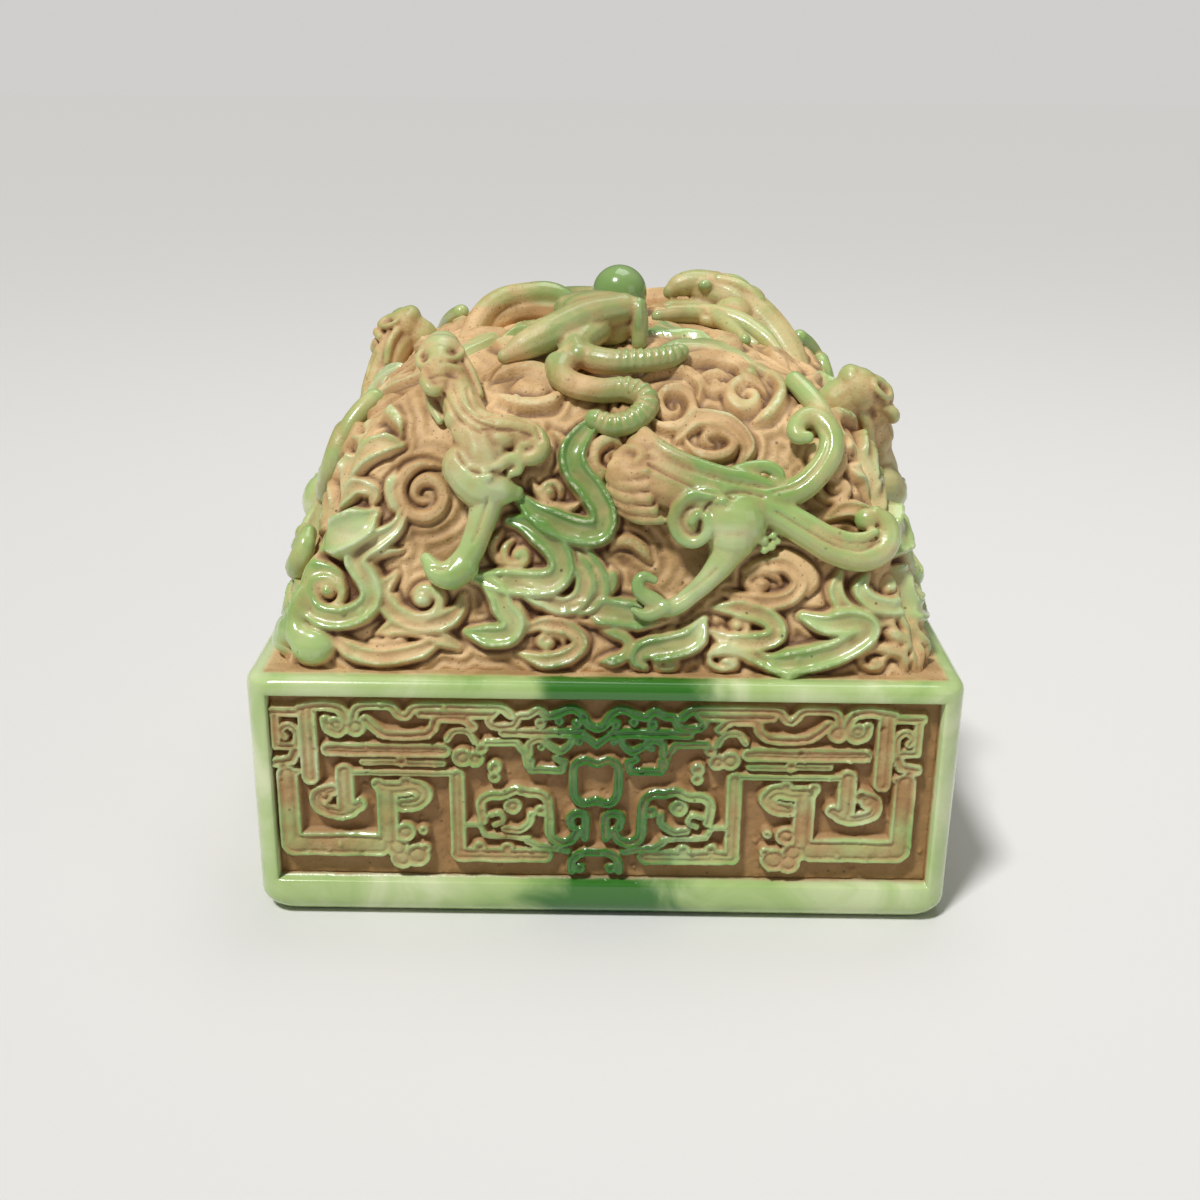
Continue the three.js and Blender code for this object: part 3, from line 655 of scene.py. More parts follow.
def make_block():
    rows = block_rows()
    arc = np.linspace(PANEL_HALF + 0.7, BLOCK_HALF - CORNER_ROUND * (1 - math.pi / 4), 8)
    stops = np.concatenate([-arc[:0:-1], stops_round(-PANEL_HALF, PANEL_HALF, 2.0), arc]) / arc[-1]
    columns = 4 * len(stops)
    mesh = grid_mesh("seal_block_form", columns, len(rows) - 1)
    flat = read_places(mesh)
    row = np.rint((flat[:, 1] + 1) / 2 * (len(rows) - 1)).astype(int)
    column = np.rint((flat[:, 0] + 1) / 2 * columns).astype(int) % columns
    half, z = rows[row].T
    corner = np.where(half < STAMP_HALF + 1, 0.6, CORNER_ROUND)
    x, y = square_outline(stops[column % len(stops)], half, corner)[1:]
    inside = np.minimum(PANEL_HALF - np.abs(x), np.minimum(z - PANEL_FOOT, PANEL_HEAD - z))
    rim = RIM_ROUND * np.clip(1 + inside / RIM_ROUND, 0, 1) ** 2
    y = np.where((inside > 0) & (half > MOUND_HALF), -PANEL_FLOOR, y + 0.6 * rim)
    turn = column // len(stops) * math.pi / 2
    around = np.column_stack([x * np.cos(turn) - y * np.sin(turn), x * np.sin(turn) + y * np.cos(turn), z])
    write_places(mesh, around * MM)
    form = bmesh.new()
    form.from_mesh(mesh)
    bmesh.ops.remove_doubles(form, verts=form.verts, dist=1e-6)
    bmesh.ops.holes_fill(form, edges=[edge for edge in form.edges if edge.is_boundary], sides=0)
    bmesh.ops.recalc_face_normals(form, faces=form.faces)
    form.to_mesh(mesh)
    form.free()
    return mesh


block_mesh = make_block()
x, y, z = read_places(block_mesh).T / MM
outer = np.maximum(np.abs(x), np.abs(y))
within = np.minimum(np.abs(x), np.abs(y)) < PANEL_HALF + 0.1
in_panel = within & (z > PANEL_FOOT - 0.1) & (z < PANEL_HEAD + 0.1)
in_recess = in_panel & (outer < BLOCK_HALF - 0.8)
on_ledge = np.clip((BLOCK_HALF - LEDGE_FILM + 0.7 - outer) / 1.4, 0, 1) * (z > BLOCK_TOP - 0.05)
under = (z > 0.2) & (z < STAMP_DEPTH + 0.1) & (outer < STAMP_HALF + 0.5)
filmed = np.maximum(on_ledge, in_recess | under)
set_attribute(block_mesh, "wear_and_painted_light", 0.72 - 0.30 * filmed)
set_attribute(block_mesh, "polish", 0.62 - 0.60 * filmed)
set_attribute(block_mesh, "sunk", np.where(in_recess, 0.9, 0.0))
add_piece("cast_block", block_mesh, block_resin, "jade_resin", "seal_block")
print("block faces", len(block_mesh.polygons))

# %% [markdown]
# ## Fret panels
# The panel is drawn on its left half, outwards from the middle, and mirrored. Straight bands, curls and
# balls make one outline, and what counts is how deep a point lies inside it: the bands are flat, and a
# thin raised rim follows their outline. Boolean joins of boxes would give sharp edges, and a height over
# a grid keeps the soft ones of a casting.

# %% Fret drawing
# half width, then points: distance from the middle, height
FRET_BANDS = (
    (1.75, ((43.6, 22.4), (43.6, 11.4))),
    (2.05, ((43.2, 11.4), (31.0, 11.4))),
    (1.70, ((29.6, 12.4), (29.6, 19.8))),
    (1.50, ((35.5, 17.8), (35.5, 23.0))),
    (0.65, ((35.0, 23.0), (20.4, 23.0))),
    (1.25, ((37.6, 26.5), (21.4, 26.5))),
    (0.70, ((32.8, 24.7), (28.4, 24.7), (27.2, 24.5), (21.6, 24.5))),
    (1.45, ((40.3, 22.2), (40.3, 32.4))),
    (0.90, ((45.2, 32.2), (41.6, 32.2))),
    (0.85, ((44.8, 31.6), (44.8, 27.0), (42.6, 26.9))),
    (1.00, ((45.0, 24.4), (42.8, 24.8), (42.2, 26.2))),
    (0.95, ((24.4, 32.2), (14.6, 32.2))),
    (1.30, ((19.6, 22.6), (19.6, 10.2))),
    (1.40, ((19.6, 10.1), (7.2, 10.0))),
    (0.60, ((18.6, 14.9), (16.6, 14.9), (15.8, 13.2), (9.6, 12.8))),
    (0.75, ((15.4, 27.9), (11.2, 27.9), (10.0, 26.2), (9.6, 24.4))),
    (0.90, ((13.0, 29.5), (2.2, 29.5))),
    (0.75, ((9.2, 25.2), (9.2, 23.7), (4.8, 23.7), (4.5, 25.0), (5.6, 25.6))),
)
FRET_CURLS = (
    (1.40, ((30.2, 20.6), (27.8, 20.5), (25.6, 20.8), (24.3, 19.6), (25.4, 18.3), (27.4, 17.9))),
    (1.25, ((37.4, 20.2), (39.4, 19.4), (39.4, 17.6), (37.6, 16.7), (35.6, 16.6), (33.6, 17.8))),
    (0.75, ((42.0, 27.0), (41.9, 29.2), (43.0, 30.2), (44.1, 29.4), (43.6, 28.4))),
    (1.00, ((41.2, 32.6), (38.0, 33.2), (35.6, 32.6), (34.9, 30.6), (36.0, 29.1), (37.4, 29.7), (37.7, 31.0))),
    (0.85, ((33.9, 31.2), (33.2, 33.0), (31.0, 33.3), (28.7, 33.2), (27.5, 31.9), (26.3, 31.8), (25.2, 33.1),
            (22.0, 33.3), (17.0, 33.3), (13.4, 33.2), (12.0, 32.2))),
    (0.95, ((32.2, 31.2), (30.6, 29.6), (29.0, 28.9), (24.4, 28.9), (22.8, 29.9), (22.2, 31.4), (20.0, 31.6),
            (18.2, 31.3), (17.2, 30.3))),
    (0.70, ((20.8, 28.3), (19.8, 29.6), (18.0, 29.5), (17.0, 28.0))),
    (0.90, ((16.0, 15.6), (16.3, 18.4), (15.0, 19.6), (13.2, 19.7), (11.4, 20.5), (9.6, 20.1), (7.8, 19.9),
            (6.8, 18.6), (6.6, 15.6), (6.4, 13.2), (5.0, 12.2), (3.4, 12.6), (2.6, 14.0))),
    (0.60, ((15.0, 16.5), (13.6, 16.8), (13.2, 15.6), (14.4, 14.9))),
    (0.75, ((13.0, 14.3), (11.0, 14.1), (9.4, 15.3), (9.2, 16.6))),
    (0.70, ((9.8, 12.4), (8.2, 11.5), (6.4, 11.3), (4.0, 10.7))),
    (0.80, ((3.4, 14.8), (3.6, 16.2), (2.6, 17.0), (1.5, 16.5), (1.4, 14.6), (1.5, 13.0))),
    (0.80, ((3.4, 7.6), (3.2, 9.4), (1.8, 10.5), (0.0, 10.7))),
    (0.80, ((14.0, 32.6), (15.0, 31.4), (14.2, 30.4), (11.6, 30.6), (10.8, 31.9), (9.4, 32.2), (8.0, 33.0),
            (6.8, 32.0), (5.0, 32.6), (3.4, 33.1), (2.0, 32.3), (1.2, 30.8), (0.0, 30.2))),
    (0.75, ((9.4, 26.2), (9.2, 28.0), (7.6, 28.6), (6.4, 27.4), (5.0, 26.7), (3.8, 27.6), (3.2, 28.9),
            (2.0, 29.2), (0.9, 28.4), (0.0, 27.6))),
    (0.80, ((0.0, 24.8), (1.7, 25.3), (3.0, 24.4), (3.2, 22.0), (3.0, 19.6), (1.8, 18.5), (0.0, 19.0))),
)
# distance from the middle, height, radius
FRET_BALLS = (
    (30.8, 21.2, 1.2), (26.8, 21.4, 1.3), (27.2, 13.6, 1.7), (28.4, 11.0, 1.9), (25.6, 9.8, 2.1),
    (27.8, 9.3, 1.9),
    (24.6, 13.9, 0.9), (24.4, 11.0, 1.0), (38.6, 19.3, 1.5), (35.1, 17.2, 1.7), (44.0, 23.8, 1.1),
    (42.3, 22.9, 0.8),
    (36.3, 30.3, 1.5), (33.6, 30.0, 1.7), (18.8, 25.5, 1.7), (17.0, 25.3, 1.5), (14.3, 24.0, 1.2),
    (14.3, 22.5, 1.1),
    (16.0, 27.0, 1.1), (16.6, 11.3, 1.1), (12.6, 11.1, 1.2), (11.8, 17.9, 1.5), (7.8, 17.2, 1.1),
    (2.2, 8.0, 1.0),
    (7.8, 31.0, 1.0), (2.7, 31.0, 0.9), (5.2, 31.3, 0.9), (7.7, 27.3, 0.8), (2.4, 28.1, 0.7), (27.4, 24.8, 1.1),
)
PATTERN_SHIFT = -1.1
print(len(FRET_BANDS), "bands,", len(FRET_CURLS), "curls and", len(FRET_BALLS), "balls on each half")

# %% Fret panel
FRIEZE_COLUMNS, FRIEZE_ROWS = 400, 124
FRET_RELIEF = 1.30
FRET_RIM = 0.30
FRET_GROOVE = 0.22


def fret_depth(half_sheet):
    inside = np.full(len(half_sheet), -3.0)
    strokes = [(half, np.array(points)) for half, points in FRET_BANDS]
    strokes += [(half, smooth_path(points, 5)) for half, points in FRET_CURLS]
    for half, path in strokes:
        index = near_path(half_sheet, path, half + 3)
        deep = half - along_path(half_sheet[index], path)[0]
        inside[index] = np.maximum(inside[index], deep)
    for a, b, radius in FRET_BALLS:
        inside = np.maximum(inside, radius - np.hypot(half_sheet[:, 0] - a, half_sheet[:, 1] - b))
    return inside


def make_frieze():
    mesh = grid_mesh("frieze_form", FRIEZE_COLUMNS, FRIEZE_ROWS)
    flat = read_places(mesh)
    x = flat[:, 0] * PANEL_HALF
    z = PANEL_FOOT + (flat[:, 1] + 1) / 2 * (PANEL_HEAD - PANEL_FOOT)
    inside = fret_depth(np.column_stack([np.abs(x - PATTERN_SHIFT), z]))
    step = np.clip((inside + 0.20) / 0.50, 0, 1)
    height = FRET_RELIEF * ease(step)
    height += FRET_RIM * np.exp(-((inside - 0.34) / 0.22) ** 2)
    height -= FRET_GROOVE * np.exp(-((inside - 0.95) / 0.20) ** 2)
    height += 0.10 * np.clip(inside - 1.0, 0, 1.2)
    sheet = types.SimpleNamespace(where=np.column_stack([x, z]), height=height)
    scatter(sheet, 110, (-PANEL_HALF + 1, PANEL_FOOT + 1), (PANEL_HALF - 1, PANEL_HEAD - 1), 0.45, 0.8, 11)
    scatter(sheet, 60, (-PANEL_HALF + 1, PANEL_FOOT + 1), (PANEL_HALF - 1, PANEL_HEAD - 1), 0.5, -0.7, 12)
    height = sheet.height + 0.30 * soft_noise(sheet.where, 2.2, 13) + 0.14 * soft_noise(sheet.where, 0.7, 14)
    border = np.minimum(PANEL_HALF - np.abs(x), np.minimum(z - PANEL_FOOT, PANEL_HEAD - z))
    height = np.where(border < 0.05, -0.4, height)
    write_places(mesh, np.column_stack([x, -PANEL_FLOOR - 0.15 - height, z]) * MM)
    wear_and_painted_light = measure_standing_out(mesh, 24, 0.55)
    middle = np.clip(1.3 - np.abs(x - 1) / 17, 0, 1)
    raised = np.clip(inside * 2.5 + 0.3, 0, 1)
    rim = np.exp(-((inside - 0.34) / 0.28) ** 2)
    patch = soft_noise(sheet.where, 5.0, 15)
    polish = raised * (0.34 + 0.22 * rim + 0.36 * patch + 0.32 * middle)
    sunk = 0.85 - 0.25 * raised

    def draw_back(form, corners):
        for corner in corners:
            corner.co.y = -(PANEL_FLOOR - 0.6) * MM
        bmesh.ops.contextual_create(form, geom=corners)

    close_border(mesh, draw_back)
    set_attribute(mesh, "wear_and_painted_light", 0.5 + 0.35 * (wear_and_painted_light - 0.5))
    set_attribute(mesh, "polish", polish)
    set_attribute(mesh, "sunk", sunk)
    return mesh


add_round("frieze", (make_frieze(),), frieze_resin, "patina_resin")

# %% [markdown]
# ## Cloud slopes
# One quarter of the mound is a sheet that climbs the front slope and runs over the crown to the pearl.
# Across it runs the distance from the middle, and up it the rise above the block, so a stroke drawn
# over the photograph keeps its place. A lump like a foot stands at one corner and pleats run down the
# other. Near both ends the heights are led over to a common one, so that neighbouring quarters meet.

# %% Cloud drawing
# half width, height, polish, then points: across, rise
CLOUD_RIDGES = (
    (1.3, 2.1, 0.55, ((-36.4, 10.6), (-37.6, 12.6), (-40.2, 12.2), (-41.4, 10.0), (-40.2, 7.4), (-37.0, 6.8),
                      (-33.8, 7.8), (-32.4, 9.8), (-33.2, 12.2), (-34.6, 14.0), (-33.8, 15.8), (-31.4, 17.2),
                      (-29.2, 18.8), (-27.9, 21.4))),
    (0.6, 1.5, 0.40, ((-32.0, 7.8), (-30.9, 10.0), (-31.8, 12.6), (-32.6, 14.4), (-30.6, 15.6), (-28.2, 15.8))),
    (1.1, 1.7, 0.35, ((-29.2, 12.6), (-30.8, 10.4), (-29.8, 8.0), (-27.0, 6.5), (-23.4, 6.3), (-20.6, 7.8),
                      (-19.8, 10.0))),
    (1.0, 1.6, 0.25, ((-38.0, 5.0), (-35.5, 2.6), (-31.0, 1.7), (-26.0, 2.6), (-22.6, 4.2))),
    (0.9, 1.5, 0.30, ((-31.8, 4.8), (-28.6, 5.7), (-24.4, 5.0), (-20.4, 3.0))),
    (0.5, 1.0, 0.10, ((-33.0, 3.7), (-30.2, 3.5), (-28.4, 4.2))),
    (1.9, 2.6, 0.60, ((-39.4, 15.6), (-36.6, 17.4), (-33.8, 19.2), (-32.2, 20.6))),
    (0.8, 1.5, 0.45, ((-29.4, 26.0), (-30.0, 23.5), (-29.0, 20.6))),
    (1.5, 2.2, 0.65, ((-18.4, 12.4), (-15.2, 12.0), (-11.0, 11.7), (-7.8, 11.9), (-6.2, 13.3), (-6.5, 15.6),
                      (-8.6, 17.9), (-11.4, 19.5), (-13.6, 19.9))),
    (0.6, 1.2, 0.15, ((-14.6, 18.6), (-15.8, 16.4), (-14.8, 14.6), (-12.0, 13.9))),
    (1.3, 2.1, 0.62, ((-17.6, 12.4), (-15.0, 10.4), (-14.2, 8.4), (-12.7, 6.6), (-13.4, 5.0), (-16.0, 4.7),
                      (-19.4, 5.2))),
    (0.6, 1.5, 0.35, ((-13.2, 10.6), (-12.2, 8.9), (-11.2, 6.9), (-10.6, 5.4))),
    (1.1, 1.9, 0.55, ((-14.0, 10.7), (-12.0, 11.0), (-9.0, 9.9), (-6.0, 8.8), (-3.6, 9.8), (-2.9, 12.4),
                      (-4.0, 15.0), (-5.4, 16.6))),
    (0.9, 1.8, 0.62, ((-6.4, 8.4), (-2.6, 8.8), (-0.7, 10.8), (-1.2, 13.4), (-3.4, 15.9), (-5.0, 17.2))),
    (0.8, 1.4, 0.40, ((-0.6, 9.8), (0.9, 11.8), (0.6, 13.8))),
    (1.6, 1.8, 0.60, ((-2.6, 8.2), (1.0, 8.0), (4.0, 7.6), (6.6, 6.8))),
    (0.5, 1.2, 0.15, ((-10.8, 8.8), (-6.0, 7.6), (-2.0, 6.6), (2.0, 6.1), (6.0, 6.2), (9.0, 7.0))),
    (0.9, 1.7, 0.35, ((-11.6, 5.2), (-9.0, 6.3), (-5.4, 5.9), (-3.4, 4.0), (-5.0, 2.3), (-8.4, 1.5),
                      (-12.0, 2.4))),
    (0.8, 1.5, 0.45, ((-0.6, 5.6), (2.4, 4.9), (3.4, 3.4), (2.0, 1.9), (-1.0, 1.4))),
    (1.5, 2.1, 0.60, ((13.6, 7.2), (12.0, 4.6), (9.0, 3.6), (6.0, 3.0), (4.6, 1.9), (5.4, 0.9))),
    (0.6, 1.2, 0.30, ((9.6, 6.0), (8.0, 5.0), (6.0, 5.2))),
    (0.8, 1.6, 0.45, ((14.0, 2.6), (17.0, 3.4), (19.6, 2.6), (21.4, 1.2))),
    (1.1, 1.7, 0.45, ((15.0, 8.8), (19.0, 8.6), (22.6, 7.4), (23.8, 5.4), (21.0, 4.3), (17.0, 4.4),
                      (14.8, 5.6))),
    (1.5, 2.3, 0.62, ((20.4, 2.6), (23.4, 1.6), (27.4, 2.0), (31.4, 3.0), (34.6, 4.6), (36.2, 6.2), (34.0, 7.2),
                      (30.4, 6.8), (27.2, 7.8))),
    (0.9, 1.6, 0.15, ((16.4, 10.8), (20.0, 9.7), (24.6, 9.9), (26.8, 12.0), (25.0, 14.4), (21.6, 14.5),
                      (19.4, 13.6))),
    (0.8, 1.3, 0.10, ((23.0, 16.2), (26.2, 15.2), (28.6, 13.0), (28.0, 10.6))),
    (0.9, 1.7, 0.50, ((36.2, 13.4), (35.2, 11.4), (37.0, 9.6), (40.2, 8.8), (42.6, 9.6))),
    (0.9, 1.5, 0.45, ((32.6, 14.0), (31.8, 11.2), (33.4, 8.8), (37.0, 7.6), (40.6, 7.4))),
    (0.7, 1.4, 0.20, ((33.6, 2.2), (36.6, 3.8), (40.4, 3.2), (42.4, 1.6))),
    (0.7, 1.5, 0.35, ((38.4, 6.0), (41.0, 4.8), (43.0, 3.4), (43.4, 1.4))),
    (1.6, 2.4, 0.66, ((-12.4, 23.2), (-9.8, 20.9), (-6.6, 19.4), (-3.4, 18.5), (-0.9, 18.9), (-0.5, 21.2),
                      (-2.0, 23.8), (-4.2, 26.4), (-4.8, 28.6), (-3.2, 31.0), (-1.0, 32.8))),
    (0.5, 1.3, 0.20, ((-10.6, 25.2), (-8.4, 22.4), (-5.4, 21.6), (-3.6, 22.4))),
    (0.6, 1.2, 0.10, ((-8.0, 31.6), (-6.0, 30.0), (-5.8, 28.0), (-7.4, 26.4))),
    (1.0, 1.6, 0.35, ((-36.6, 24.4), (-34.2, 27.6), (-31.0, 29.4), (-28.4, 29.6))),
    (0.9, 1.5, 0.35, ((-38.6, 20.4), (-36.2, 22.6), (-34.4, 24.0), (-32.4, 23.4), (-32.6, 21.8))),
    (0.8, 1.4, 0.20, ((-34.0, 31.6), (-31.8, 33.4), (-29.4, 32.6), (-28.6, 30.8))),
    (0.9, 1.5, 0.20, ((30.4, 20.6), (33.0, 22.0), (35.8, 21.0), (37.4, 18.6), (36.4, 16.6))),
    (0.9, 1.6, 0.30, ((33.4, 27.4), (36.0, 26.0), (37.6, 23.6), (39.4, 21.8))),
    (1.5, 2.3, 0.40, ((30.6, 38.4), (33.4, 35.6), (35.4, 31.6), (37.0, 28.0))),
    (0.9, 1.4, 0.15, ((9.6, 30.6), (12.2, 32.9), (16.6, 32.6), (19.4, 30.0), (18.4, 27.6))),
    (0.8, 1.3, 0.15, ((20.4, 33.0), (23.0, 34.4), (24.6, 37.4), (22.8, 40.2))),
    (0.7, 1.2, 0.10, ((4.6, 38.4), (7.0, 39.6), (10.4, 39.4), (13.0, 37.6), (12.6, 35.4))),
    (0.7, 1.2, 0.05, ((-16.4, 38.4), (-13.4, 39.6), (-9.4, 39.4), (-6.4, 37.6))),
    (0.7, 1.2, 0.05, ((-16.0, 36.0), (-12.6, 34.8), (-8.6, 35.0), (-6.2, 36.6))),
    (0.8, 1.4, 0.30, ((0.8, 25.6), (-1.6, 26.8), (-1.8, 29.2), (0.4, 30.6), (2.0, 29.6))),
    (0.8, 1.3, 0.20, ((6.2, 14.6), (4.4, 16.8), (2.0, 17.4), (0.6, 16.4))),
    (0.7, 1.3, 0.15, ((28.8, 19.8), (30.6, 17.6), (29.6, 15.4))),
    (1.1, 1.3, 0.70, ((5.6, 46.2), (11.0, 46.6), (16.4, 45.0), (20.6, 43.0), (24.4, 41.4))),
    (0.8, 1.2, 0.50, ((6.8, 42.8), (12.2, 43.4), (16.4, 42.6), (19.4, 41.4), (22.0, 40.0))),
    (0.8, 1.2, 0.10, ((8.8, 40.2), (13.4, 41.4), (18.2, 40.6), (20.4, 38.8))),
    (0.8, 1.2, 0.55, ((12.0, 48.2), (17.4, 47.4), (22.4, 45.2), (26.4, 42.6))),
    (0.8, 1.2, 0.10, ((-20.4, 44.6), (-16.4, 43.4), (-12.0, 43.6), (-8.6, 45.0))),
)
# half width, height, polish, then across, rise, half width and height, turns, first angle
CLOUD_SPIRALS = (
    (0.8, 1.2, 0.05, (-25.2, 23.2, 4.4, 4.2, 1.6, 60)),
    (0.7, 1.2, 0.05, (9.0, 34.8, 3.6, 3.0, 1.5, 200)),
    (0.8, 1.3, 0.15, (19.4, 36.0, 3.0, 2.3, 1.3, 20)),
    (0.7, 1.2, 0.05, (14.8, 30.4, 3.9, 2.2, 1.2, 180)),
    (0.8, 1.2, 0.10, (-33.2, 36.6, 2.8, 2.6, 1.4, 90)),
    (0.8, 1.2, 0.10, (30.0, 28.6, 2.8, 2.6, 1.4, 240)),
)
# across, rise, half width, half height, relief, polish
CLOUD_BOSSES = (
    (-38.4, 10.2, 1.6, 1.4, 1.9, 0.45), (-25.4, 9.4, 2.6, 1.8, 2.0, 0.45), (-12.3, 15.4, 1.5, 1.3, 1.9, 0.45),
    (-7.8, 3.9, 1.5, 0.9, 1.5, 0.50), (8.8, 1.5, 1.6, 0.9, 1.4, 0.50), (16.8, 1.7, 1.8, 0.9, 1.5, 0.50),
    (18.2, 6.4, 1.5, 1.0, 1.4, 0.40), (21.4, 12.1, 2.0, 1.1, 1.5, 0.10), (39.4, 11.4, 1.9, 1.2, 1.5, 0.40),
    (37.4, 2.0, 1.6, 0.9, 1.2, 0.20), (-7.9, 23.8, 1.1, 0.9, 1.6, 0.40), (-11.2, 37.1, 4.6, 1.6, 0.8, 0.0),
    (31.6, 24.6, 1.8, 1.2, 1.4, 0.10), (33.4, 31.4, 1.4, 1.2, 1.6, 0.20), (-28.6, 4.0, 1.6, 0.8, 1.2, 0.10),
    (20.4, 39.2, 1.9, 0.8, 1.2, 0.50), (15.2, 37.8, 1.8, 1.0, 1.3, 0.05), (2.0, 34.6, 1.0, 0.8, 1.0, 0.10),
    (27.4, 33.4, 1.4, 1.2, 1.2, 0.10), (-37.0, 29.4, 1.6, 1.4, 1.6, 0.30),
)
# distance from the corner, rise, half width, half height, relief
CORNER_LUMPS = (
    (0.0, 14.0, 2.0, 4.6, 1.8), (0.2, 9.8, 2.4, 5.0, 3.0), (0.8, 6.2, 3.2, 4.4, 3.4), (3.6, 3.2, 4.0, 2.9, 3.0),
)
CORNER_POLISH = 0.62
CORNER_LINES = (
    ((0.8, 13.0), (2.3, 11.4), (2.8, 9.2), (2.0, 7.0)), ((0.6, 11.4), (1.7, 10.2), (2.0, 8.4), (1.2, 6.4)),
    ((0.5, 10.0), (1.2, 9.0), (1.3, 7.6), (0.6, 6.0)),
)
CORNER_FOLDS = (
    (0.55, 1.7, 0.30, ((2.2, 14.0), (1.0, 11.4), (2.4, 8.6), (1.2, 5.6), (2.0, 2.6), (1.2, 0.6))),
    (0.60, 1.8, 0.35, ((3.8, 13.0), (2.6, 10.6), (4.0, 8.0), (2.8, 5.2), (3.6, 2.6), (2.8, 0.8))),
    (0.55, 1.5, 0.25, ((5.2, 11.0), (4.4, 9.4), (5.6, 7.4), (4.6, 5.0), (5.4, 3.2), (7.0, 1.6))),
)
SEAM_COLUMNS = 7
SEAM_OVERLAP = 1.004
SEAM_BEND = math.pi / 4 * 1.03
SEAM_HEIGHT = 0.7
SEAM_SINK = 0.2
FOLLOW_HEIGHT = 0.62
CLOUD_DEPTH = 1.3
CLOUD_SINK = 0.5
print(len(CLOUD_RIDGES), "ridges,", len(CLOUD_SPIRALS), "spirals,", len(CLOUD_BOSSES), "bosses")

# %% Crown drawing
# half width, height, polish, then points: x, y
CROWN_RIDGES = (
    (0.9, 1.3, 0.15, ((-4.0, -9.0), (2.0, -8.0), (8.0, -10.0), (12.0, -14.0))),
    (0.9, 1.3, 0.15, ((-14.0, -12.0), (-9.0, -9.0), (-6.0, -10.0))),
)
print(len(CROWN_RIDGES), "ridges on each quarter near the pearl")

# %% Cloud quarter
def mound_profile(rise):
    turn = DOME_START + np.clip((rise - SLOPE_RISE) / DOME_DRAWN, 0, 1) * (math.pi / 2 - DOME_START)
    domed = rise > SLOPE_RISE
    half = np.where(domed, DOME_HALF * np.cos(turn), MOUND_HALF - rise * math.tan(LEAN))
    dome_z = DOME_TOP - DOME_TALL * (1 - np.sin(turn))
    return half, np.where(domed, dome_z, BLOCK_TOP + rise)


def mound_places(across, rise):
    half, z = mound_profile(rise)
    corner = np.minimum(MOUND_CORNER, 0.8 * half)
    reach, x, y = square_outline(SEAM_OVERLAP * across, half, corner, SEAM_BEND)
    return reach, np.column_stack([x, y, z])


def blur(field, rounds):
    for _ in range(rounds):
        field[1:-1, :] = 0.5 * field[1:-1, :] + 0.25 * (field[:-2, :] + field[2:, :])
        field[:, 1:-1] = 0.5 * field[:, 1:-1] + 0.25 * (field[:, :-2] + field[:, 2:])
    return field


def corner_foot(inward, rise):
    total = 0
    for x, z, wide, high, tall in CORNER_LUMPS:
        reach = ((inward - x) / wide) ** 2 + ((rise - z) / high) ** 2
        total = total + (tall * np.sqrt(np.clip(1 - reach ** 1.5, 0, None))) ** 3
    return np.cbrt(total)


def carve_clouds(reach, rise, places, lump_end):
    sheet = new_sheet(np.column_stack([reach, rise]))
    for half, height, polish, points in CLOUD_RIDGES:
        raise_ridge(sheet, half, height * CLOUD_DEPTH, polish, points)
    for half, height, polish, shape in CLOUD_SPIRALS:
        raise_ridge(sheet, half, height * CLOUD_DEPTH, polish, spiral(*shape))
    for x, z, wide, tall, height, polish in CLOUD_BOSSES:
        raise_boss(sheet, x, z, 0.62 * wide, 0.7 * tall, height * CLOUD_DEPTH, polish)
        curl = spiral(x, z, 1.45 * wide, 1.6 * tall, 1.15, 50 * x)
        raise_ridge(sheet, 0.30 * min(wide, tall) + 0.2, 0.8 * height * CLOUD_DEPTH, 0.8 * polish, curl)
    end = reach.max()
    for half, height, polish, points in CORNER_FOLDS:
        raise_ridge(sheet, half, height, polish, [(-lump_end * (end - x), z) for x, z in points])
    follow_lines(sheet, FOLLOW_HEIGHT, 0.0)
    inward = end - lump_end * reach
    foot = corner_foot(inward, rise)
    for points in CORNER_LINES:
        away = along_path(np.column_stack([inward, rise]), smooth_path(points))[0]
        foot -= 0.30 * np.exp(-(away / 0.25) ** 2) * (foot > 0.5)
    lift_to(sheet, np.arange(len(reach)), foot, CORNER_POLISH)
    crown = new_sheet(places[:, :2])
    for half, height, polish, points in CROWN_RIDGES:
        raise_ridge(crown, half, height, polish, points)
    crown.height *= rise > SLOPE_RISE
    lift_to(sheet, np.arange(len(reach)), crown.height, 0.15)
    scatter(sheet, 70, (-40, 1), (40, 40), 0.55, 0.8, 21)
    scatter(sheet, 60, (-40, 1), (40, 40), 0.45, -0.8, 22)
    sheet.height += 0.45 * soft_noise(sheet.where, 3.1, 23) + 0.14 * soft_noise(sheet.where, 0.9, 24)
    return sheet


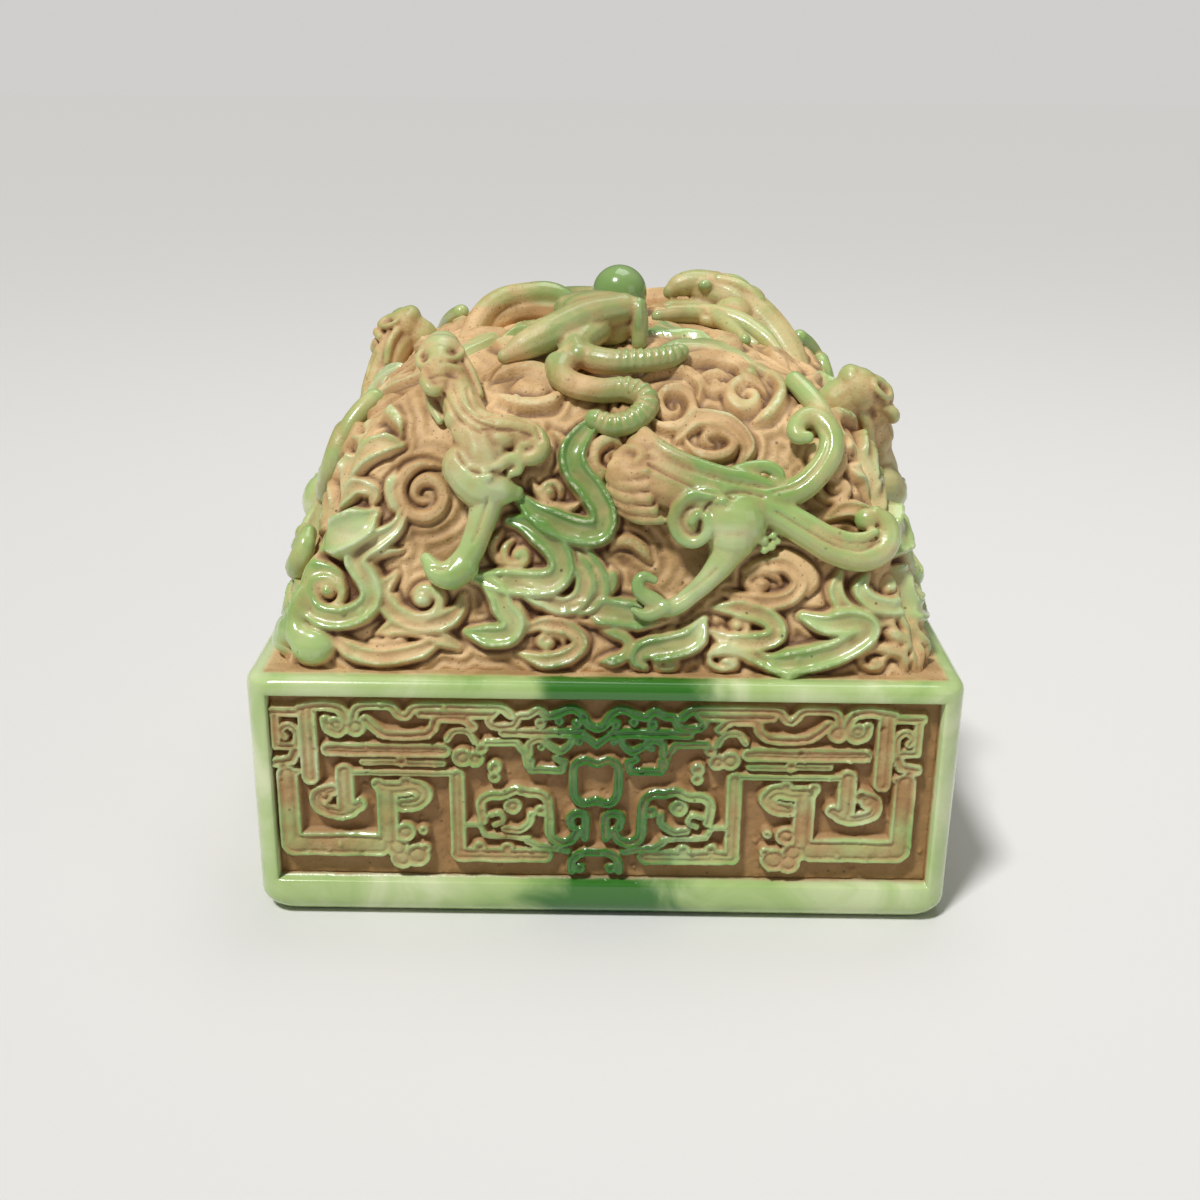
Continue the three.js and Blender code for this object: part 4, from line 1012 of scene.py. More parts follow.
def make_cloud_quarter(lump_end):
    columns, slope_rows, crown_rows = 330, 110, 110
    mesh = grid_mesh("cloud_form", columns, slope_rows + crown_rows)
    flat = read_places(mesh)
    row = np.rint((flat[:, 1] + 1) / 2 * (slope_rows + crown_rows)).astype(int)
    top = SLOPE_RISE + DOME_DRAWN * 0.97
    dome_stops = np.linspace(SLOPE_RISE, top, crown_rows + 1)
    rise = np.concatenate([np.linspace(0, SLOPE_RISE, slope_rows + 1), dome_stops[1:]])[row]
    reach, places = mound_places(flat[:, 0], rise)
    sheet = carve_clouds(reach, rise, places, lump_end)
    order = np.lexsort((flat[:, 0], row))
    shape = (slope_rows + crown_rows + 1, columns + 1)
    height = blur(sheet.height[order].reshape(shape), 1)
    polish = blur(sheet.polish[order].reshape(shape), 3)
    near_end = np.clip(1 - np.arange(columns + 1) / SEAM_COLUMNS, 0, 1)
    near_end = ease(near_end)[::-lump_end][None, :]
    stops = rise[order].reshape(shape)[:, :1]
    folded = SEAM_HEIGHT + 0.35 * np.sin(stops * 1.3)
    height = height + near_end * (np.maximum(corner_foot(0, stops), SEAM_HEIGHT) - height)
    height = height + near_end[:, ::-1] * (folded - height)
    height[:, [0, -1]] -= SEAM_SINK
    skin = places[order].reshape(shape + (3,))
    outward = np.cross(np.gradient(skin, axis=1), np.gradient(skin, axis=0))
    outward /= np.maximum(np.linalg.norm(outward, axis=2, keepdims=True), 1e-9)
    carved = skin + outward * (height[:, :, None] - CLOUD_SINK)
    carved[0, :, 2] = BLOCK_TOP - 0.2
    places[order] = carved.reshape(-1, 3)
    write_places(mesh, places * MM)
    wear_and_painted_light = measure_standing_out(mesh, 40, 1.0)
    final_polish = np.zeros(len(wear_and_painted_light))
    final_polish[order] = polish.ravel()

    def draw_in(form, corners):
        bmesh.ops.pointmerge(form, verts=corners, merge_co=Vector((0, 0, BLOCK_TOP + 8)) * MM)

    close_border(mesh, draw_in)
    set_attribute(mesh, "wear_and_painted_light", wear_and_painted_light)
    set_attribute(mesh, "polish", final_polish)
    return mesh


cloud_pieces = add_round("clouds", (make_cloud_quarter(-1), make_cloud_quarter(1)), cloud_resin, "patina_resin")
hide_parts("front_clouds", "cloud_mound")

# %% [markdown]
# ## Dragons
# A dragon is built from tapered limbs and balls, joined by a fine remesh and smoothed. Its stations
# are given on the drawing: across, rise, lift off the mound and radius. Metaballs would join by
# themselves, but a curve with a radius at each station is easier to lay over a photograph. A rope is a
# limb with rings pressed into its upper side, and fine lines are engraved afterwards.

# %% Limbs and balls
FINE_CELL = 0.26
BODY_CELL = 0.28


def slope_place(x, rise, lift):
    half, z = mound_profile(np.array(float(rise)))
    sunk = math.cos(LEAN) * (float(half) - MOUND_HALF + (float(z) - BLOCK_TOP) * math.tan(LEAN))
    lift = lift + sunk
    y = -MOUND_HALF + rise * math.tan(LEAN) - lift * math.cos(LEAN)
    return Vector((x, y, BLOCK_TOP + rise + lift * math.sin(LEAN)))


def on_slope(limbs, drop=0.0):
    return [[(slope_place(x, rise - drop, lift), radius) for x, rise, lift, radius in limb] for limb in limbs]


def upright(limbs):
    return [[(Vector((x, y, z)), radius) for x, y, z, radius in limb] for limb in limbs]


def limb_tubes(limbs):
    curve = bpy.data.curves.new("limbs", "CURVE")
    curve.dimensions = "3D"
    curve.bevel_depth = MM
    curve.bevel_resolution = 4
    curve.use_fill_caps = True
    curve.resolution_u = 8
    for limb in limbs:
        spline = curve.splines.new("BEZIER")
        spline.bezier_points.add(len(limb) - 1)
        for knot, (place, radius) in zip(spline.bezier_points, limb):
            knot.co = place * MM
            knot.radius = radius
            knot.handle_left_type = "AUTO"
            knot.handle_right_type = "AUTO"
    return settled(curve)


def grow(limbs, balls, cell):
    form = bmesh.new()
    form.from_mesh(limb_tubes(limbs))
    for limb in limbs:
        for place, radius in (limb[0], limb[-1]):
            spot = Matrix.Translation(place * MM) @ Matrix.Scale(radius * MM, 4)
            bmesh.ops.create_uvsphere(form, u_segments=14, v_segments=9, radius=1.0, matrix=spot)
    for place, radii in balls:
        spot = Matrix.Translation(place * MM) @ Matrix.Diagonal((*(Vector(radii) * MM), 1))
        bmesh.ops.create_uvsphere(form, u_segments=20, v_segments=12, radius=1.0, matrix=spot)
    joined = bpy.data.meshes.new("dragon_form")
    form.to_mesh(joined)
    form.free()
    remesh = {"mode": "VOXEL", "voxel_size": cell * MM}
    return settled(joined, [("REMESH", remesh), ("SMOOTH", {"factor": 0.5, "iterations": 2})])


print("limbs and balls ready, joined in cells of", FINE_CELL, "to", BODY_CELL, "mm")

# %% Engraving and finish
def sheet_places(mesh):
    x, y, z = read_places(mesh).T / MM
    lift = math.cos(LEAN) * (-MOUND_HALF + (z - BLOCK_TOP) * math.tan(LEAN) - y)
    return np.column_stack([x, z - BLOCK_TOP - lift * math.sin(LEAN)])


def engrave(mesh, lines, drop=0.0):
    where = sheet_places(mesh) + (0, drop)
    facing = np.clip(read_normals(mesh) @ np.array((0, -math.cos(LEAN), math.sin(LEAN))), 0, 1)
    cut = np.zeros(len(where))
    for half, depth, points in lines:
        path = smooth_path(points)
        index = near_path(where, path, 3 * half)
        away = along_path(where[index], path)[0]
        cut[index] = np.maximum(cut[index], depth * np.exp(-(away / half) ** 2))
    write_places(mesh, read_places(mesh) - read_normals(mesh) * (cut * facing)[:, None] * MM)


def finish_dragon(mesh, polish):
    set_attribute(mesh, "wear_and_painted_light", measure_standing_out(mesh, 26, 0.60))
    set_attribute(mesh, "polish", polish)
    return mesh


def rope(mesh, limb, first, pitch, depth):
    path = smooth_path([tuple(place) for place, _ in limb], 10)
    places = read_places(mesh) / MM
    away, share = along_path(places, path)
    length = np.linalg.norm(np.diff(path, axis=0), axis=1).sum()
    reach = max(radius for _, radius in limb) + 0.8
    turns = np.clip((share - first) * 12, 0, 1) * np.clip((reach - away) * 3, 0, 1)
    ripple = np.abs(np.sin(share * length / pitch * math.pi)) - 0.6
    turns *= np.clip(0.3 + 1.4 * read_normals(mesh)[:, 2], 0, 1)
    write_places(mesh, (places + read_normals(mesh) * (depth * ripple * turns)[:, None]) * MM)


print("engraving and rope ready")

# %% [markdown]
# ## Foreparts
# The front dragon looks down from the top left, with rims round its eyes, a neck that runs on into a
# mane rolled to the right, and one foreleg planted on the clouds. On the left and right slopes the same
# dragon sits lower.

# %% Foreparts of the climbing dragons
# stations of each limb: across, rise, lift, radius
FOREPART_LIMBS = (
    ((-17.0, 25.0, 1.6, 3.2), (-17.4, 28.4, 1.8, 3.4), (-18.6, 31.6, 1.8, 3.0), (-20.4, 35.0, 2.0, 2.8),
     (-22.2, 38.4, 2.6, 3.0), (-23.8, 41.0, 3.2, 3.0)),
    ((-24.2, 42.4, 5.4, 3.0), (-24.0, 41.0, 1.0, 3.4)),
    ((-24.0, 43.2, 6.8, 1.9), (-24.2, 44.0, 7.3, 1.5), (-24.0, 44.6, 7.8, 1.0)),
    ((-24.0, 41.4, 6.0, 2.4), (-23.8, 39.6, 5.6, 2.2), (-23.6, 38.0, 5.0, 2.0)),
    ((-25.6, 39.0, 6.0, 0.8), (-25.2, 37.6, 6.2, 0.9), (-24.2, 36.8, 5.8, 0.9), (-23.2, 37.2, 5.6, 0.8),
     (-23.4, 38.0, 6.2, 0.6)),
    ((-24.6, 39.6, 7.0, 0.8), (-22.9, 39.9, 7.5, 0.9), (-21.1, 39.7, 6.6, 0.8)),
    ((-25.8, 43.1, 8.3, 0.5), (-26.7, 42.3, 7.5, 0.5), (-26.7, 40.9, 7.1, 0.5), (-25.8, 40.2, 7.4, 0.5),
     (-24.9, 40.9, 8.4, 0.5), (-24.9, 42.3, 8.7, 0.5), (-25.8, 43.1, 8.3, 0.5)),
    ((-22.2, 43.7, 7.9, 0.5), (-21.1, 43.1, 7.2, 0.5), (-21.1, 41.9, 7.3, 0.5), (-22.2, 41.3, 8.1, 0.5),
     (-23.3, 41.8, 8.7, 0.5), (-23.3, 43.1, 8.6, 0.5), (-22.2, 43.7, 7.9, 0.5)),
    ((-20.8, 41.8, 5.4, 0.8), (-19.4, 39.6, 4.4, 0.8), (-18.0, 36.6, 2.6, 0.6)),
    ((-21.4, 40.8, 5.8, 0.7), (-20.2, 38.6, 4.8, 0.7), (-19.2, 36.2, 3.4, 0.5)),
    ((-25.6, 40.4, 2.8, 0.9), (-25.2, 37.6, 2.2, 0.9), (-24.6, 35.0, 1.4, 0.8), (-23.4, 33.0, 0.9, 0.6)),
    ((-21.8, 38.0, 3.6, 2.4), (-20.8, 36.2, 3.3, 2.4), (-19.6, 33.8, 3.2, 2.4), (-16.9, 32.1, 3.2, 2.1),
     (-13.2, 31.8, 2.9, 1.9), (-10.4, 31.2, 2.5, 1.6), (-9.2, 29.4, 2.2, 1.4), (-10.4, 28.1, 2.2, 1.2),
     (-11.9, 28.5, 2.4, 1.0), (-11.8, 29.6, 2.8, 0.8), (-11.0, 29.8, 3.0, 0.6)),
    ((-20.6, 31.4, 2.8, 1.0), (-19.2, 29.6, 3.4, 1.0), (-17.2, 28.9, 3.8, 1.0), (-15.0, 29.0, 3.4, 0.9)),
    ((-20.2, 29.0, 2.8, 0.9), (-19.2, 27.4, 3.6, 1.0), (-17.2, 26.6, 4.2, 1.0), (-15.0, 26.8, 3.9, 0.9),
     (-13.6, 28.0, 3.2, 0.7)),
    ((-14.4, 27.4, 3.4, 1.0), (-12.8, 27.8, 3.0, 1.0), (-12.2, 26.6, 2.8, 0.8), (-13.2, 26.0, 3.0, 0.6)),
    ((-19.6, 26.8, 1.8, 3.3), (-17.2, 24.4, 2.4, 3.4), (-14.6, 23.8, 2.0, 2.4), (-12.6, 23.5, 1.4, 1.2)),
    ((-16.2, 24.0, 2.2, 2.8), (-16.8, 21.2, 2.2, 2.2), (-17.8, 18.0, 2.2, 1.9), (-18.9, 15.4, 2.2, 1.9),
     (-20.0, 13.9, 2.2, 2.0)),
    ((-19.6, 13.8, 2.2, 2.2), (-21.4, 12.8, 2.5, 2.3), (-23.2, 13.1, 2.5, 1.7), (-24.8, 14.8, 2.0, 0.9)),
)
# across, rise and lift, then radii
FOREPART_BALLS = (
    ((-24.0, 42.0, 4.8), (3.5, 3.2, 3.4)), ((-24.0, 43.8, 6.0), (2.6, 1.8, 2.2)),
    ((-22.6, 37.6, 3.6), (2.8, 2.2, 2.6)),
    ((-14.8, 30.4, 3.4), (2.0, 1.4, 1.4)), ((-16.6, 32.2, 3.6), (2.4, 1.6, 1.8)),
    ((-19.0, 26.2, 4.4), (1.2, 1.1, 1.1)),
    ((-16.6, 25.4, 4.8), (1.2, 1.1, 1.1)), ((-20.8, 33.0, 3.2), (1.8, 1.5, 1.8)),
    ((-13.2, 30.6, 2.2), (3.2, 1.7, 2.0)),
)
# half width, depth, then points: across, rise
FOREPART_LINES = (
    (0.45, 0.55, ((-25.8, 41.9), (-25.8, 41.4))),
    (0.45, 0.55, ((-22.4, 42.5), (-22.0, 42.5))),
    (0.25, 0.32, ((-22.8, 36.4), (-21.4, 34.2), (-19.8, 32.4), (-17.2, 31.2))),
    (0.25, 0.32, ((-21.4, 37.6), (-20.4, 35.4), (-18.6, 33.6), (-15.4, 32.6))),
    (0.28, 0.35, ((-24.6, 38.6), (-22.8, 38.9), (-21.0, 38.7))),
    (0.28, 0.45, ((-17.4, 33.2), (-14.8, 33.4), (-12.0, 33.1), (-9.8, 32.4), (-9.2, 30.4))),
    (0.26, 0.35, ((-17.0, 31.6), (-14.6, 31.6), (-12.2, 31.4), (-10.4, 30.8))),
    (0.28, 0.45, ((-21.4, 37.0), (-20.2, 34.6), (-18.2, 32.8), (-15.6, 31.8))),
    (0.26, 0.40, ((-19.4, 37.0), (-18.6, 34.8), (-16.8, 33.4))),
    (0.28, 0.40, ((-20.6, 28.6), (-19.0, 26.6), (-16.8, 25.9), (-14.6, 26.2))),
    (0.25, 0.30, ((-16.2, 22.6), (-17.0, 20.0), (-18.2, 17.0))),
    (0.25, 0.40, ((-21.2, 14.6), (-22.2, 13.4), (-23.6, 13.6))),
)


def make_forepart(drop):
    balls = [(slope_place(x, rise - drop, lift), radii) for (x, rise, lift), radii in FOREPART_BALLS]
    mesh = grow(on_slope(FOREPART_LIMBS, drop), balls, FINE_CELL)
    engrave(mesh, FOREPART_LINES, drop)
    x, rise = sheet_places(mesh).T + np.array([[0], [drop]])
    crest = np.exp(-((x + 24.0) / 2.2) ** 2 - ((rise - 44.5) / 3.0) ** 2)
    polish = np.interp(rise, (0, 24, 28, 34), (0.62, 0.60, 0.40, 0.30)) + 0.25 * crest
    return finish_dragon(mesh, polish)


add_round("forepart", (make_forepart(0.0), make_forepart(FORE_DROP)), dragon_resin, "jade_resin")

# %% [markdown]
# ## Hindparts
# The same dragon's body comes out of the clouds with a fringe of curls, swells into a polished haunch
# and ends in a tail that forks into an upper curl and a lower ribbon.

# %% Hindparts of the climbing dragons
# stations of each limb: across, rise, lift, radius
HINDPART_LIMBS = (
    ((3.0, 26.0, 0.8, 3.4), (6.5, 25.2, 1.2, 3.7), (10.5, 24.2, 1.4, 3.7), (15.0, 23.0, 1.4, 3.7),
     (19.0, 22.8, 1.2, 3.1),
     (22.0, 23.2, 1.0, 2.4)),
    ((4.4, 29.6, 0.6, 2.1), (8.0, 27.4, 1.2, 2.3), (12.0, 26.0, 1.6, 2.3), (16.0, 25.2, 1.6, 2.1)),
    ((4.8, 31.8, 1.0, 1.0), (7.0, 29.7, 2.2, 1.2), (10.5, 27.9, 3.0, 1.2), (15.0, 26.5, 3.2, 1.1),
     (19.6, 25.6, 3.0, 1.0),
     (22.6, 24.6, 2.6, 0.9)),
    ((6.0, 28.8, 2.8, 0.6), (9.0, 26.8, 3.6, 0.7), (14.0, 25.0, 4.0, 0.7), (19.0, 24.0, 3.6, 0.6)),
    ((17.0, 26.6, 2.6, 0.8), (20.0, 27.3, 2.4, 0.9), (22.4, 27.1, 2.2, 1.0), (23.6, 26.0, 2.2, 0.8),
     (22.6, 25.3, 2.4, 0.6)),
    ((0.4, 25.6, 1.6, 0.8), (2.4, 24.6, 3.2, 0.9), (5.2, 24.6, 4.4, 0.7)),
    ((0.4, 24.2, 1.4, 0.8), (2.6, 23.1, 3.0, 0.9), (5.6, 22.9, 4.2, 0.7)),
    ((1.0, 22.8, 1.2, 0.8), (3.4, 21.7, 2.6, 0.9), (6.4, 21.4, 3.6, 0.7)),
    ((0.6, 27.1, 1.6, 0.8), (2.6, 26.1, 3.4, 0.9), (5.2, 26.3, 4.4, 0.7)),
    ((2.0, 21.4, 1.0, 0.8), (4.4, 20.4, 2.2, 0.9), (7.4, 20.2, 3.0, 0.7)),
    ((1.4, 28.4, 1.4, 0.9), (3.0, 29.4, 2.2, 0.9), (4.6, 28.6, 3.0, 0.8), (3.8, 27.4, 3.6, 0.6)),
    ((15.6, 22.8, 5.0, 0.9), (13.4, 23.6, 4.8, 1.0), (11.0, 23.2, 4.6, 1.0), (9.4, 21.4, 4.2, 1.0),
     (9.4, 19.0, 3.8, 1.0),
     (11.0, 17.4, 4.0, 0.9), (13.0, 17.8, 4.4, 0.8), (13.8, 19.6, 4.6, 0.75), (12.6, 20.9, 4.6, 0.7),
     (11.5, 20.0, 4.6, 0.6)),
    ((17.2, 18.2, 2.0, 3.6), (16.0, 15.2, 2.2, 2.2), (14.2, 12.8, 2.2, 1.6), (11.8, 10.6, 2.0, 1.35),
     (9.2, 8.8, 2.0, 1.3),
     (7.2, 8.6, 2.0, 1.3)),
    ((6.8, 9.4, 2.2, 1.3), (4.4, 11.4, 2.4, 1.0), (5.0, 12.8, 2.4, 0.8), (6.6, 12.4, 2.4, 0.6)),
    ((8.0, 8.8, 2.6, 1.2), (5.6, 7.8, 2.6, 0.9), (3.8, 8.4, 2.2, 0.5)),
    ((20.0, 23.6, 1.4, 2.6), (23.4, 23.6, 1.8, 2.2), (26.2, 24.4, 2.0, 2.0), (28.8, 26.6, 2.0, 1.9),
     (30.6, 29.6, 2.0, 1.8),
     (30.2, 32.6, 2.0, 1.7), (28.2, 34.0, 2.2, 1.6), (26.2, 33.0, 2.2, 1.4), (26.0, 31.4, 2.4, 1.2),
     (27.4, 31.2, 2.6, 0.9)),
    ((30.6, 31.4, 1.4, 1.4), (29.6, 34.6, 1.8, 1.5), (28.0, 37.2, 2.0, 1.6), (26.4, 39.2, 2.2, 1.5)),
    ((20.0, 23.0, 1.6, 2.7), (24.0, 21.0, 1.8, 2.4), (28.0, 18.6, 2.0, 2.3), (32.0, 16.5, 2.0, 2.3),
     (35.8, 16.0, 2.0, 2.3),
     (38.4, 17.6, 2.0, 1.9), (38.4, 20.0, 2.0, 1.5), (36.8, 21.4, 2.2, 1.1)),
    ((23.0, 22.8, 2.6, 0.8), (27.0, 20.8, 3.4, 0.8), (31.0, 18.8, 3.6, 0.8), (34.6, 18.2, 3.6, 0.8),
     (36.6, 19.0, 3.4, 0.6)),
)
HINDPART_BALLS = (
    ((17.4, 20.2, 1.8), (4.8, 4.2, 4.6)), ((11.6, 20.2, 2.6), (2.6, 2.0, 2.6)),
    ((35.6, 20.6, 2.0), (1.7, 1.6, 1.6)),
    ((21.4, 17.8, 2.6), (0.8, 0.7, 0.7)), ((22.6, 16.9, 2.0), (0.7, 0.7, 0.6)),
    ((21.6, 16.4, 2.2), (0.6, 0.6, 0.6)),
    ((22.8, 18.3, 2.0), (0.6, 0.5, 0.5)), ((23.6, 17.6, 1.6), (0.5, 0.5, 0.5)),
)
HINDPART_LINES = (
    (0.30, 0.45, ((5.6, 27.4), (9.0, 25.6), (13.0, 24.0), (17.0, 23.2))),
    (0.30, 0.40, ((12.4, 19.0), (13.2, 21.6), (15.4, 23.4), (18.4, 24.0), (21.2, 23.4))),
    (0.26, 0.35, ((23.0, 21.4), (27.0, 19.2), (31.0, 17.2), (34.6, 16.6), (37.0, 17.8))),
    (0.26, 0.35, ((22.4, 23.9), (26.0, 25.0), (28.6, 27.4), (30.0, 30.4), (29.4, 32.4))),
    (0.26, 0.30, ((20.0, 24.8), (22.0, 24.6), (24.4, 25.2))),
    (0.25, 0.30, ((15.0, 14.0), (12.4, 11.6), (9.6, 9.8))),
)
HIND_CELL = 0.27
HIND_SETTLE = 0.12


def make_hindpart(drop):
    balls = [(slope_place(x, rise - drop, lift), radii) for (x, rise, lift), radii in HINDPART_BALLS]
    limbs = [[(x, rise, lift - HIND_SETTLE * drop, radius) for x, rise, lift, radius in limb]
             for limb in HINDPART_LIMBS]
    mesh = grow(on_slope(limbs, drop), balls, HIND_CELL)
    engrave(mesh, HINDPART_LINES, drop)
    x, rise = sheet_places(mesh).T + np.array([[0], [drop]])
    trunk = np.clip((13 - x) / 8, 0, 1) * np.clip((rise - 17) / 4, 0, 1)
    return finish_dragon(mesh, 0.60 - 0.42 * trunk - 0.12 * np.clip((x - 22) / 8, 0, 1))


add_round("hindpart", (make_hindpart(0.0), make_hindpart(HIND_DROP)), dragon_resin, "jade_resin")

# %% [markdown]
# ## Crown dragon
# The dragon on top coils round the pearl: its head at the back right looks at the pearl, its body
# arches on the left, and its rump and two roped tail forks come down over the front edge.

# %% Crown dragon
# stations of each limb: x, y, z, radius
CROWN_BODY = (
    ((-21.6, -10.0, 76.8, 1.7), (-20.4, -6.4, 79.4, 1.8), (-17.4, -2.6, 81.8, 1.9), (-13.0, -0.6, 82.6, 1.9),
     (-9.0, -0.2, 82.6, 1.9), (-6.4, -0.4, 81.2, 1.9)),
    ((-21.2, -11.0, 77.0, 1.8), (-18.8, -12.6, 77.8, 1.9), (-16.6, -13.4, 78.2, 1.5)),
    ((-20.2, -5.2, 77.8, 2.2), (-17.2, -2.0, 79.2, 2.6), (-13.2, -0.2, 80.0, 2.9), (-8.0, 0.2, 79.8, 3.0)),
    ((-9.0, 2.0, 79.6, 2.8), (-4.6, -4.0, 79.6, 2.7), (-3.6, -9.6, 80.0, 2.7)),
    ((20.4, 11.0, 77.6, 2.8), (14.0, 17.0, 78.5, 2.9), (4.0, 19.0, 78.0, 2.9), (-6.0, 14.0, 79.0, 2.9),
     (-12.0, 5.0, 79.4, 2.9)),
)
CROWN_BODY_BALLS = (((-13.4, 1.6, 78.6), (7.2, 3.2, 3.8)),)
CROWN_HEAD = (
    ((30.4, -2.0, 69.4, 2.4), (28.2, 2.0, 73.6, 3.2), (24.4, 6.0, 77.6, 3.6), (19.6, 9.0, 80.8, 3.6),
     (15.4, 10.0, 82.2, 2.9)),
    ((17.0, 9.8, 82.6, 2.6), (13.8, 9.8, 83.2, 2.2), (11.2, 9.4, 82.7, 1.9), (9.8, 9.0, 81.8, 1.2)),
    ((18.0, 8.6, 79.4, 2.2), (13.4, 8.0, 79.2, 1.7), (9.8, 7.2, 79.4, 1.4), (8.0, 6.6, 79.2, 0.8)),
    ((17.6, 8.2, 84.0, 1.0), (21.0, 7.0, 83.4, 0.9), (24.4, 5.4, 81.4, 0.6)),
    ((17.0, 12.0, 83.6, 1.0), (21.0, 13.0, 83.2, 0.9), (24.4, 13.0, 81.0, 0.5)),
    ((9.6, 3.4, 79.4, 1.2), (14.6, 2.8, 79.4, 1.7), (20.0, 1.0, 78.6, 1.8), (24.4, -2.6, 76.6, 1.5),
     (26.4, -5.4, 75.0, 0.9)),
    ((13.6, -0.6, 79.2, 0.9), (18.6, -2.4, 78.2, 1.0), (22.6, -5.6, 76.0, 0.8)),
    ((15.4, 3.2, 79.2, 1.5), (18.4, -5.0, 79.0, 1.3), (20.6, -11.0, 77.6, 1.0)),
    ((14.0, 0.0, 79.4, 1.4), (10.4, -3.4, 80.0, 1.3), (7.4, -5.6, 80.2, 1.0)),
    ((21.6, 8.6, 80.6, 0.8), (25.6, 4.4, 77.0, 0.9), (28.6, 0.0, 72.8, 0.7)),
)
CROWN_HEAD_BALLS = (
    ((15.4, 7.0, 83.3), (1.2, 0.9, 0.9)), ((20.0, 5.4, 78.8), (3.4, 3.8, 2.9)),
)
CROWN_RUMP = (
    ((-6.0, -10.6, 81.8, 2.6), (-3.0, -13.6, 82.8, 2.6), (1.0, -15.6, 83.0, 2.4), (3.6, -16.2, 83.0, 1.9)),
    ((4.3, -16.6, 83.6, 1.2), (4.5, -17.4, 81.0, 1.3), (4.4, -18.0, 78.4, 1.2)),
    ((2.0, -16.0, 83.0, 2.4), (-3.6, -18.4, 82.0, 2.8), (-8.4, -21.2, 80.2, 2.7), (-12.4, -23.4, 78.6, 2.1),
     (-15.0, -24.8, 77.4, 1.1)),
    ((-2.0, -18.4, 80.4, 2.4), (-4.2, -21.6, 79.0, 2.3), (-5.8, -25.0, 77.2, 2.1), (-7.0, -27.8, 75.8, 2.0)),
    ((-4.4, -19.8, 79.8, 1.8), (-5.0, -23.2, 78.8, 1.9), (-4.4, -25.6, 77.8, 1.9)),
)
CROWN_RUMP_BALLS = (
    ((-1.4, -15.4, 83.2), (5.6, 3.0, 2.3)), ((-0.6, -16.0, 80.6), (4.6, 2.4, 3.2)),
    ((4.3, -16.6, 81.0), (1.1, 2.4, 3.9)),
)
# stations of each limb: across, rise, lift, radius
CROWN_FORKS = (
    ((-4.8, 43.6, 4.8, 1.9), (-1.8, 41.9, 5.0, 2.0), (3.6, 41.7, 5.2, 1.8), (8.8, 42.5, 5.2, 1.7),
     (10.2, 43.1, 5.2, 1.3)),
    ((-7.2, 41.1, 3.6, 2.1), (-6.2, 38.9, 3.4, 1.9), (-1.4, 37.4, 3.0, 1.8), (3.0, 37.4, 3.0, 1.9),
     (5.3, 35.9, 2.5, 1.8),
     (4.4, 34.0, 1.9, 1.8), (1.1, 32.6, 1.7, 1.7), (-1.9, 33.3, 1.7, 1.5)),
)
ROPE_PITCH = 1.05


def grow_crown(limbs, balls, cell):
    return grow(limbs, [(Vector(place), radii) for place, radii in balls], cell)


forks = on_slope(CROWN_FORKS)
body_mesh = grow_crown(upright(CROWN_BODY), CROWN_BODY_BALLS, BODY_CELL)
head_mesh = grow_crown(upright(CROWN_HEAD), CROWN_HEAD_BALLS, FINE_CELL)
tail_mesh = grow_crown(upright(CROWN_RUMP) + forks, CROWN_RUMP_BALLS, FINE_CELL)
rope(tail_mesh, forks[0], 0.40, ROPE_PITCH, 0.34)
rope(tail_mesh, forks[1], 0.42, ROPE_PITCH, 0.32)
crown = (("crown_body", body_mesh, 0.62), ("crown_head", head_mesh, 0.42), ("crown_tail", tail_mesh, 0.52))
for name, mesh, polish in crown:
    x, _, z = read_places(mesh).T / MM
    filmed = 0.4 * np.exp(-((x + 4) / 3.6) ** 2 - ((z - 75) / 2.4) ** 2) + 0.25 * np.clip((-9 - x) / 5, 0, 1)
    low_wall = 0.62 * np.clip((81.8 - z) / 1.4, 0, 1) if name == "crown_body" else 0
    finish_dragon(mesh, polish - filmed - low_wall)
    add_piece("carved_" + name, mesh, dragon_resin, "jade_resin", name)
    print(name, len(mesh.polygons), "faces")

# %% [markdown]
# ## Pearl and printing face
# The pearl is a polished ball at the top of the crown. The printing face lies in the recess under the
# block: a border and a square fret that winds in from the middle of each quarter.

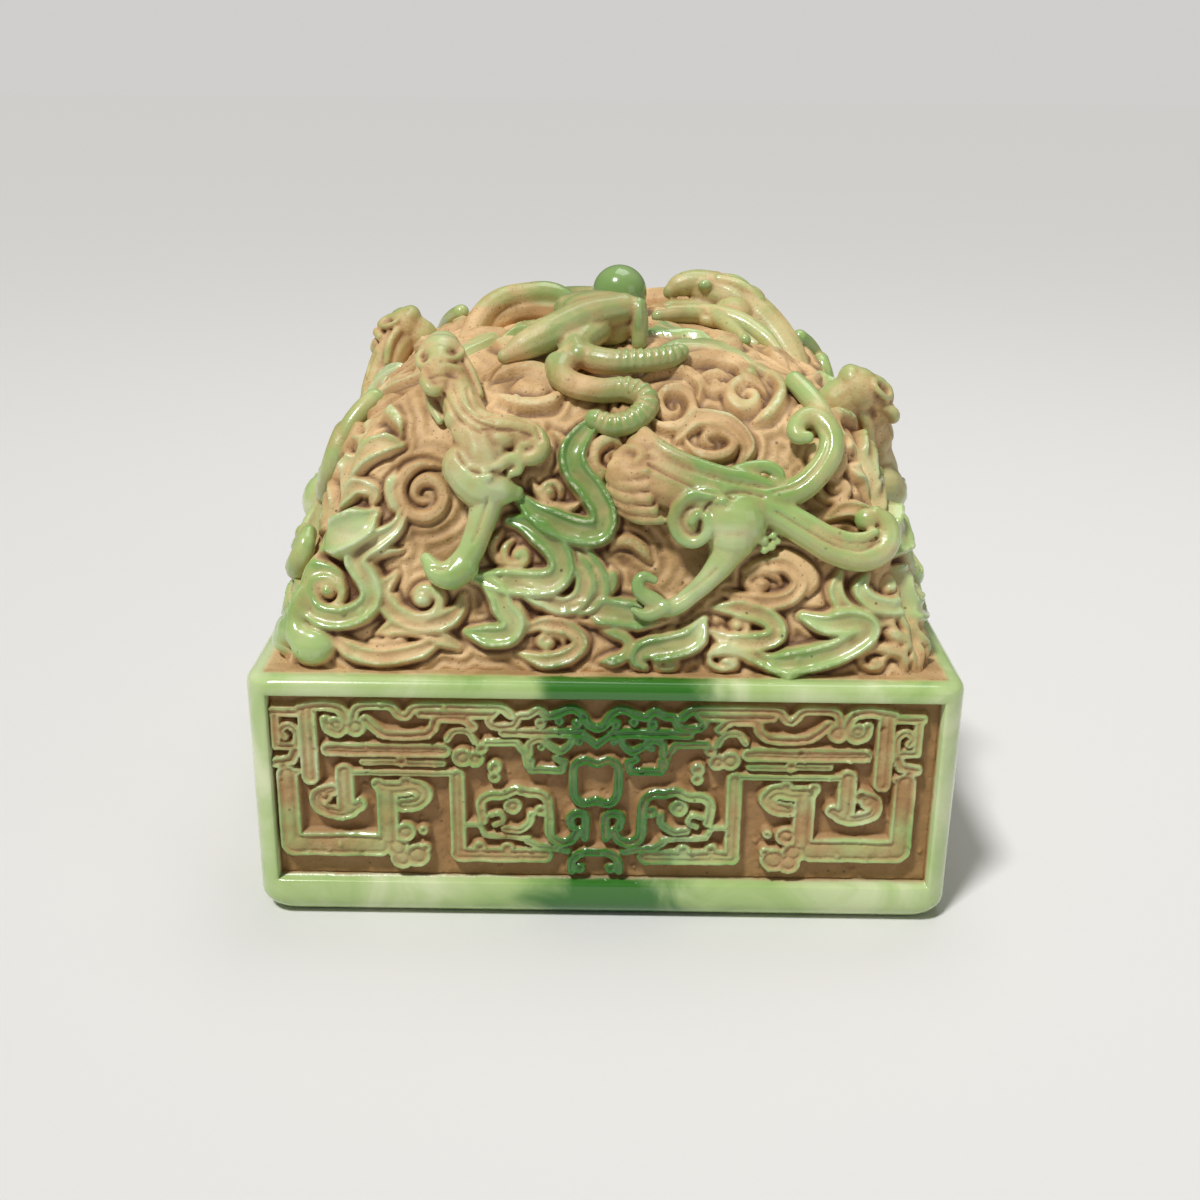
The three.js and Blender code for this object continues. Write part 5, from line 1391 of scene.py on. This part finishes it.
# %% Pearl
pearl_form = bmesh.new()
low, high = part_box("pearl")
pearl_spot = Matrix.Translation((low + high) / 2) @ Matrix.Scale((high.z - low.z) / 2, 4)
bmesh.ops.create_uvsphere(pearl_form, u_segments=96, v_segments=64, radius=0.999, matrix=pearl_spot)
pearl_mesh = bpy.data.meshes.new("pearl_form")
pearl_form.to_mesh(pearl_mesh)
pearl_form.free()
set_attribute(pearl_mesh, "wear_and_painted_light", np.full(len(pearl_mesh.vertices), 0.6))
set_attribute(pearl_mesh, "polish", np.full(len(pearl_mesh.vertices), 0.5))
add_piece("polished_pearl", pearl_mesh, pearl_resin, "jade_resin", "pearl")
print("pearl at", [round(value / MM, 1) for value in (low + high) / 2])

# %% Printing face
FACE_BORDER = 4.0
FACE_RELIEF = 1.2
FACE_BASE = 1.5
FRET_WINDS = 4


def make_printing_face():
    face_half = STAMP_HALF - 0.35
    mesh = grid_mesh("printing_form", 230, 230)
    places = read_places(mesh) * face_half
    quarter = face_half - FACE_BORDER
    wind = quarter / FRET_WINDS
    near, far = 0.4 * wind, quarter - 0.4 * wind
    path = np.array(((near, near), (far, near), (far, far), (near, far), (near, near + wind),
                     (far - wind, near + wind), (far - wind, far - wind), (near + wind, far - wind)))
    inside = np.maximum(np.abs(places[:, 0]), np.abs(places[:, 1])) - quarter
    for turn in range(4):
        spin = np.array(Matrix.Rotation(turn * math.pi / 2, 2))
        inside = np.maximum(inside, wind / 4 - along_path(places[:, :2], path @ spin)[0])
    step = np.clip(inside / 0.4 + 0.5, 0, 1)
    places[:, 2] = FACE_BASE - FACE_RELIEF * ease(step)
    write_places(mesh, places * MM)
    mesh.flip_normals()

    def draw_up(form, corners):
        for corner in corners:
            corner.co.z = (STAMP_DEPTH - 0.3) * MM
        bmesh.ops.contextual_create(form, geom=corners)

    close_border(mesh, draw_up)
    set_attribute(mesh, "wear_and_painted_light", 0.35 + 0.35 * step)
    set_attribute(mesh, "polish", 0.55 * step)
    return mesh


add_piece("printing_face", make_printing_face(), block_resin, "jade_resin", "stamp_face")
print("printing face of", FRET_WINDS, "winds a quarter")
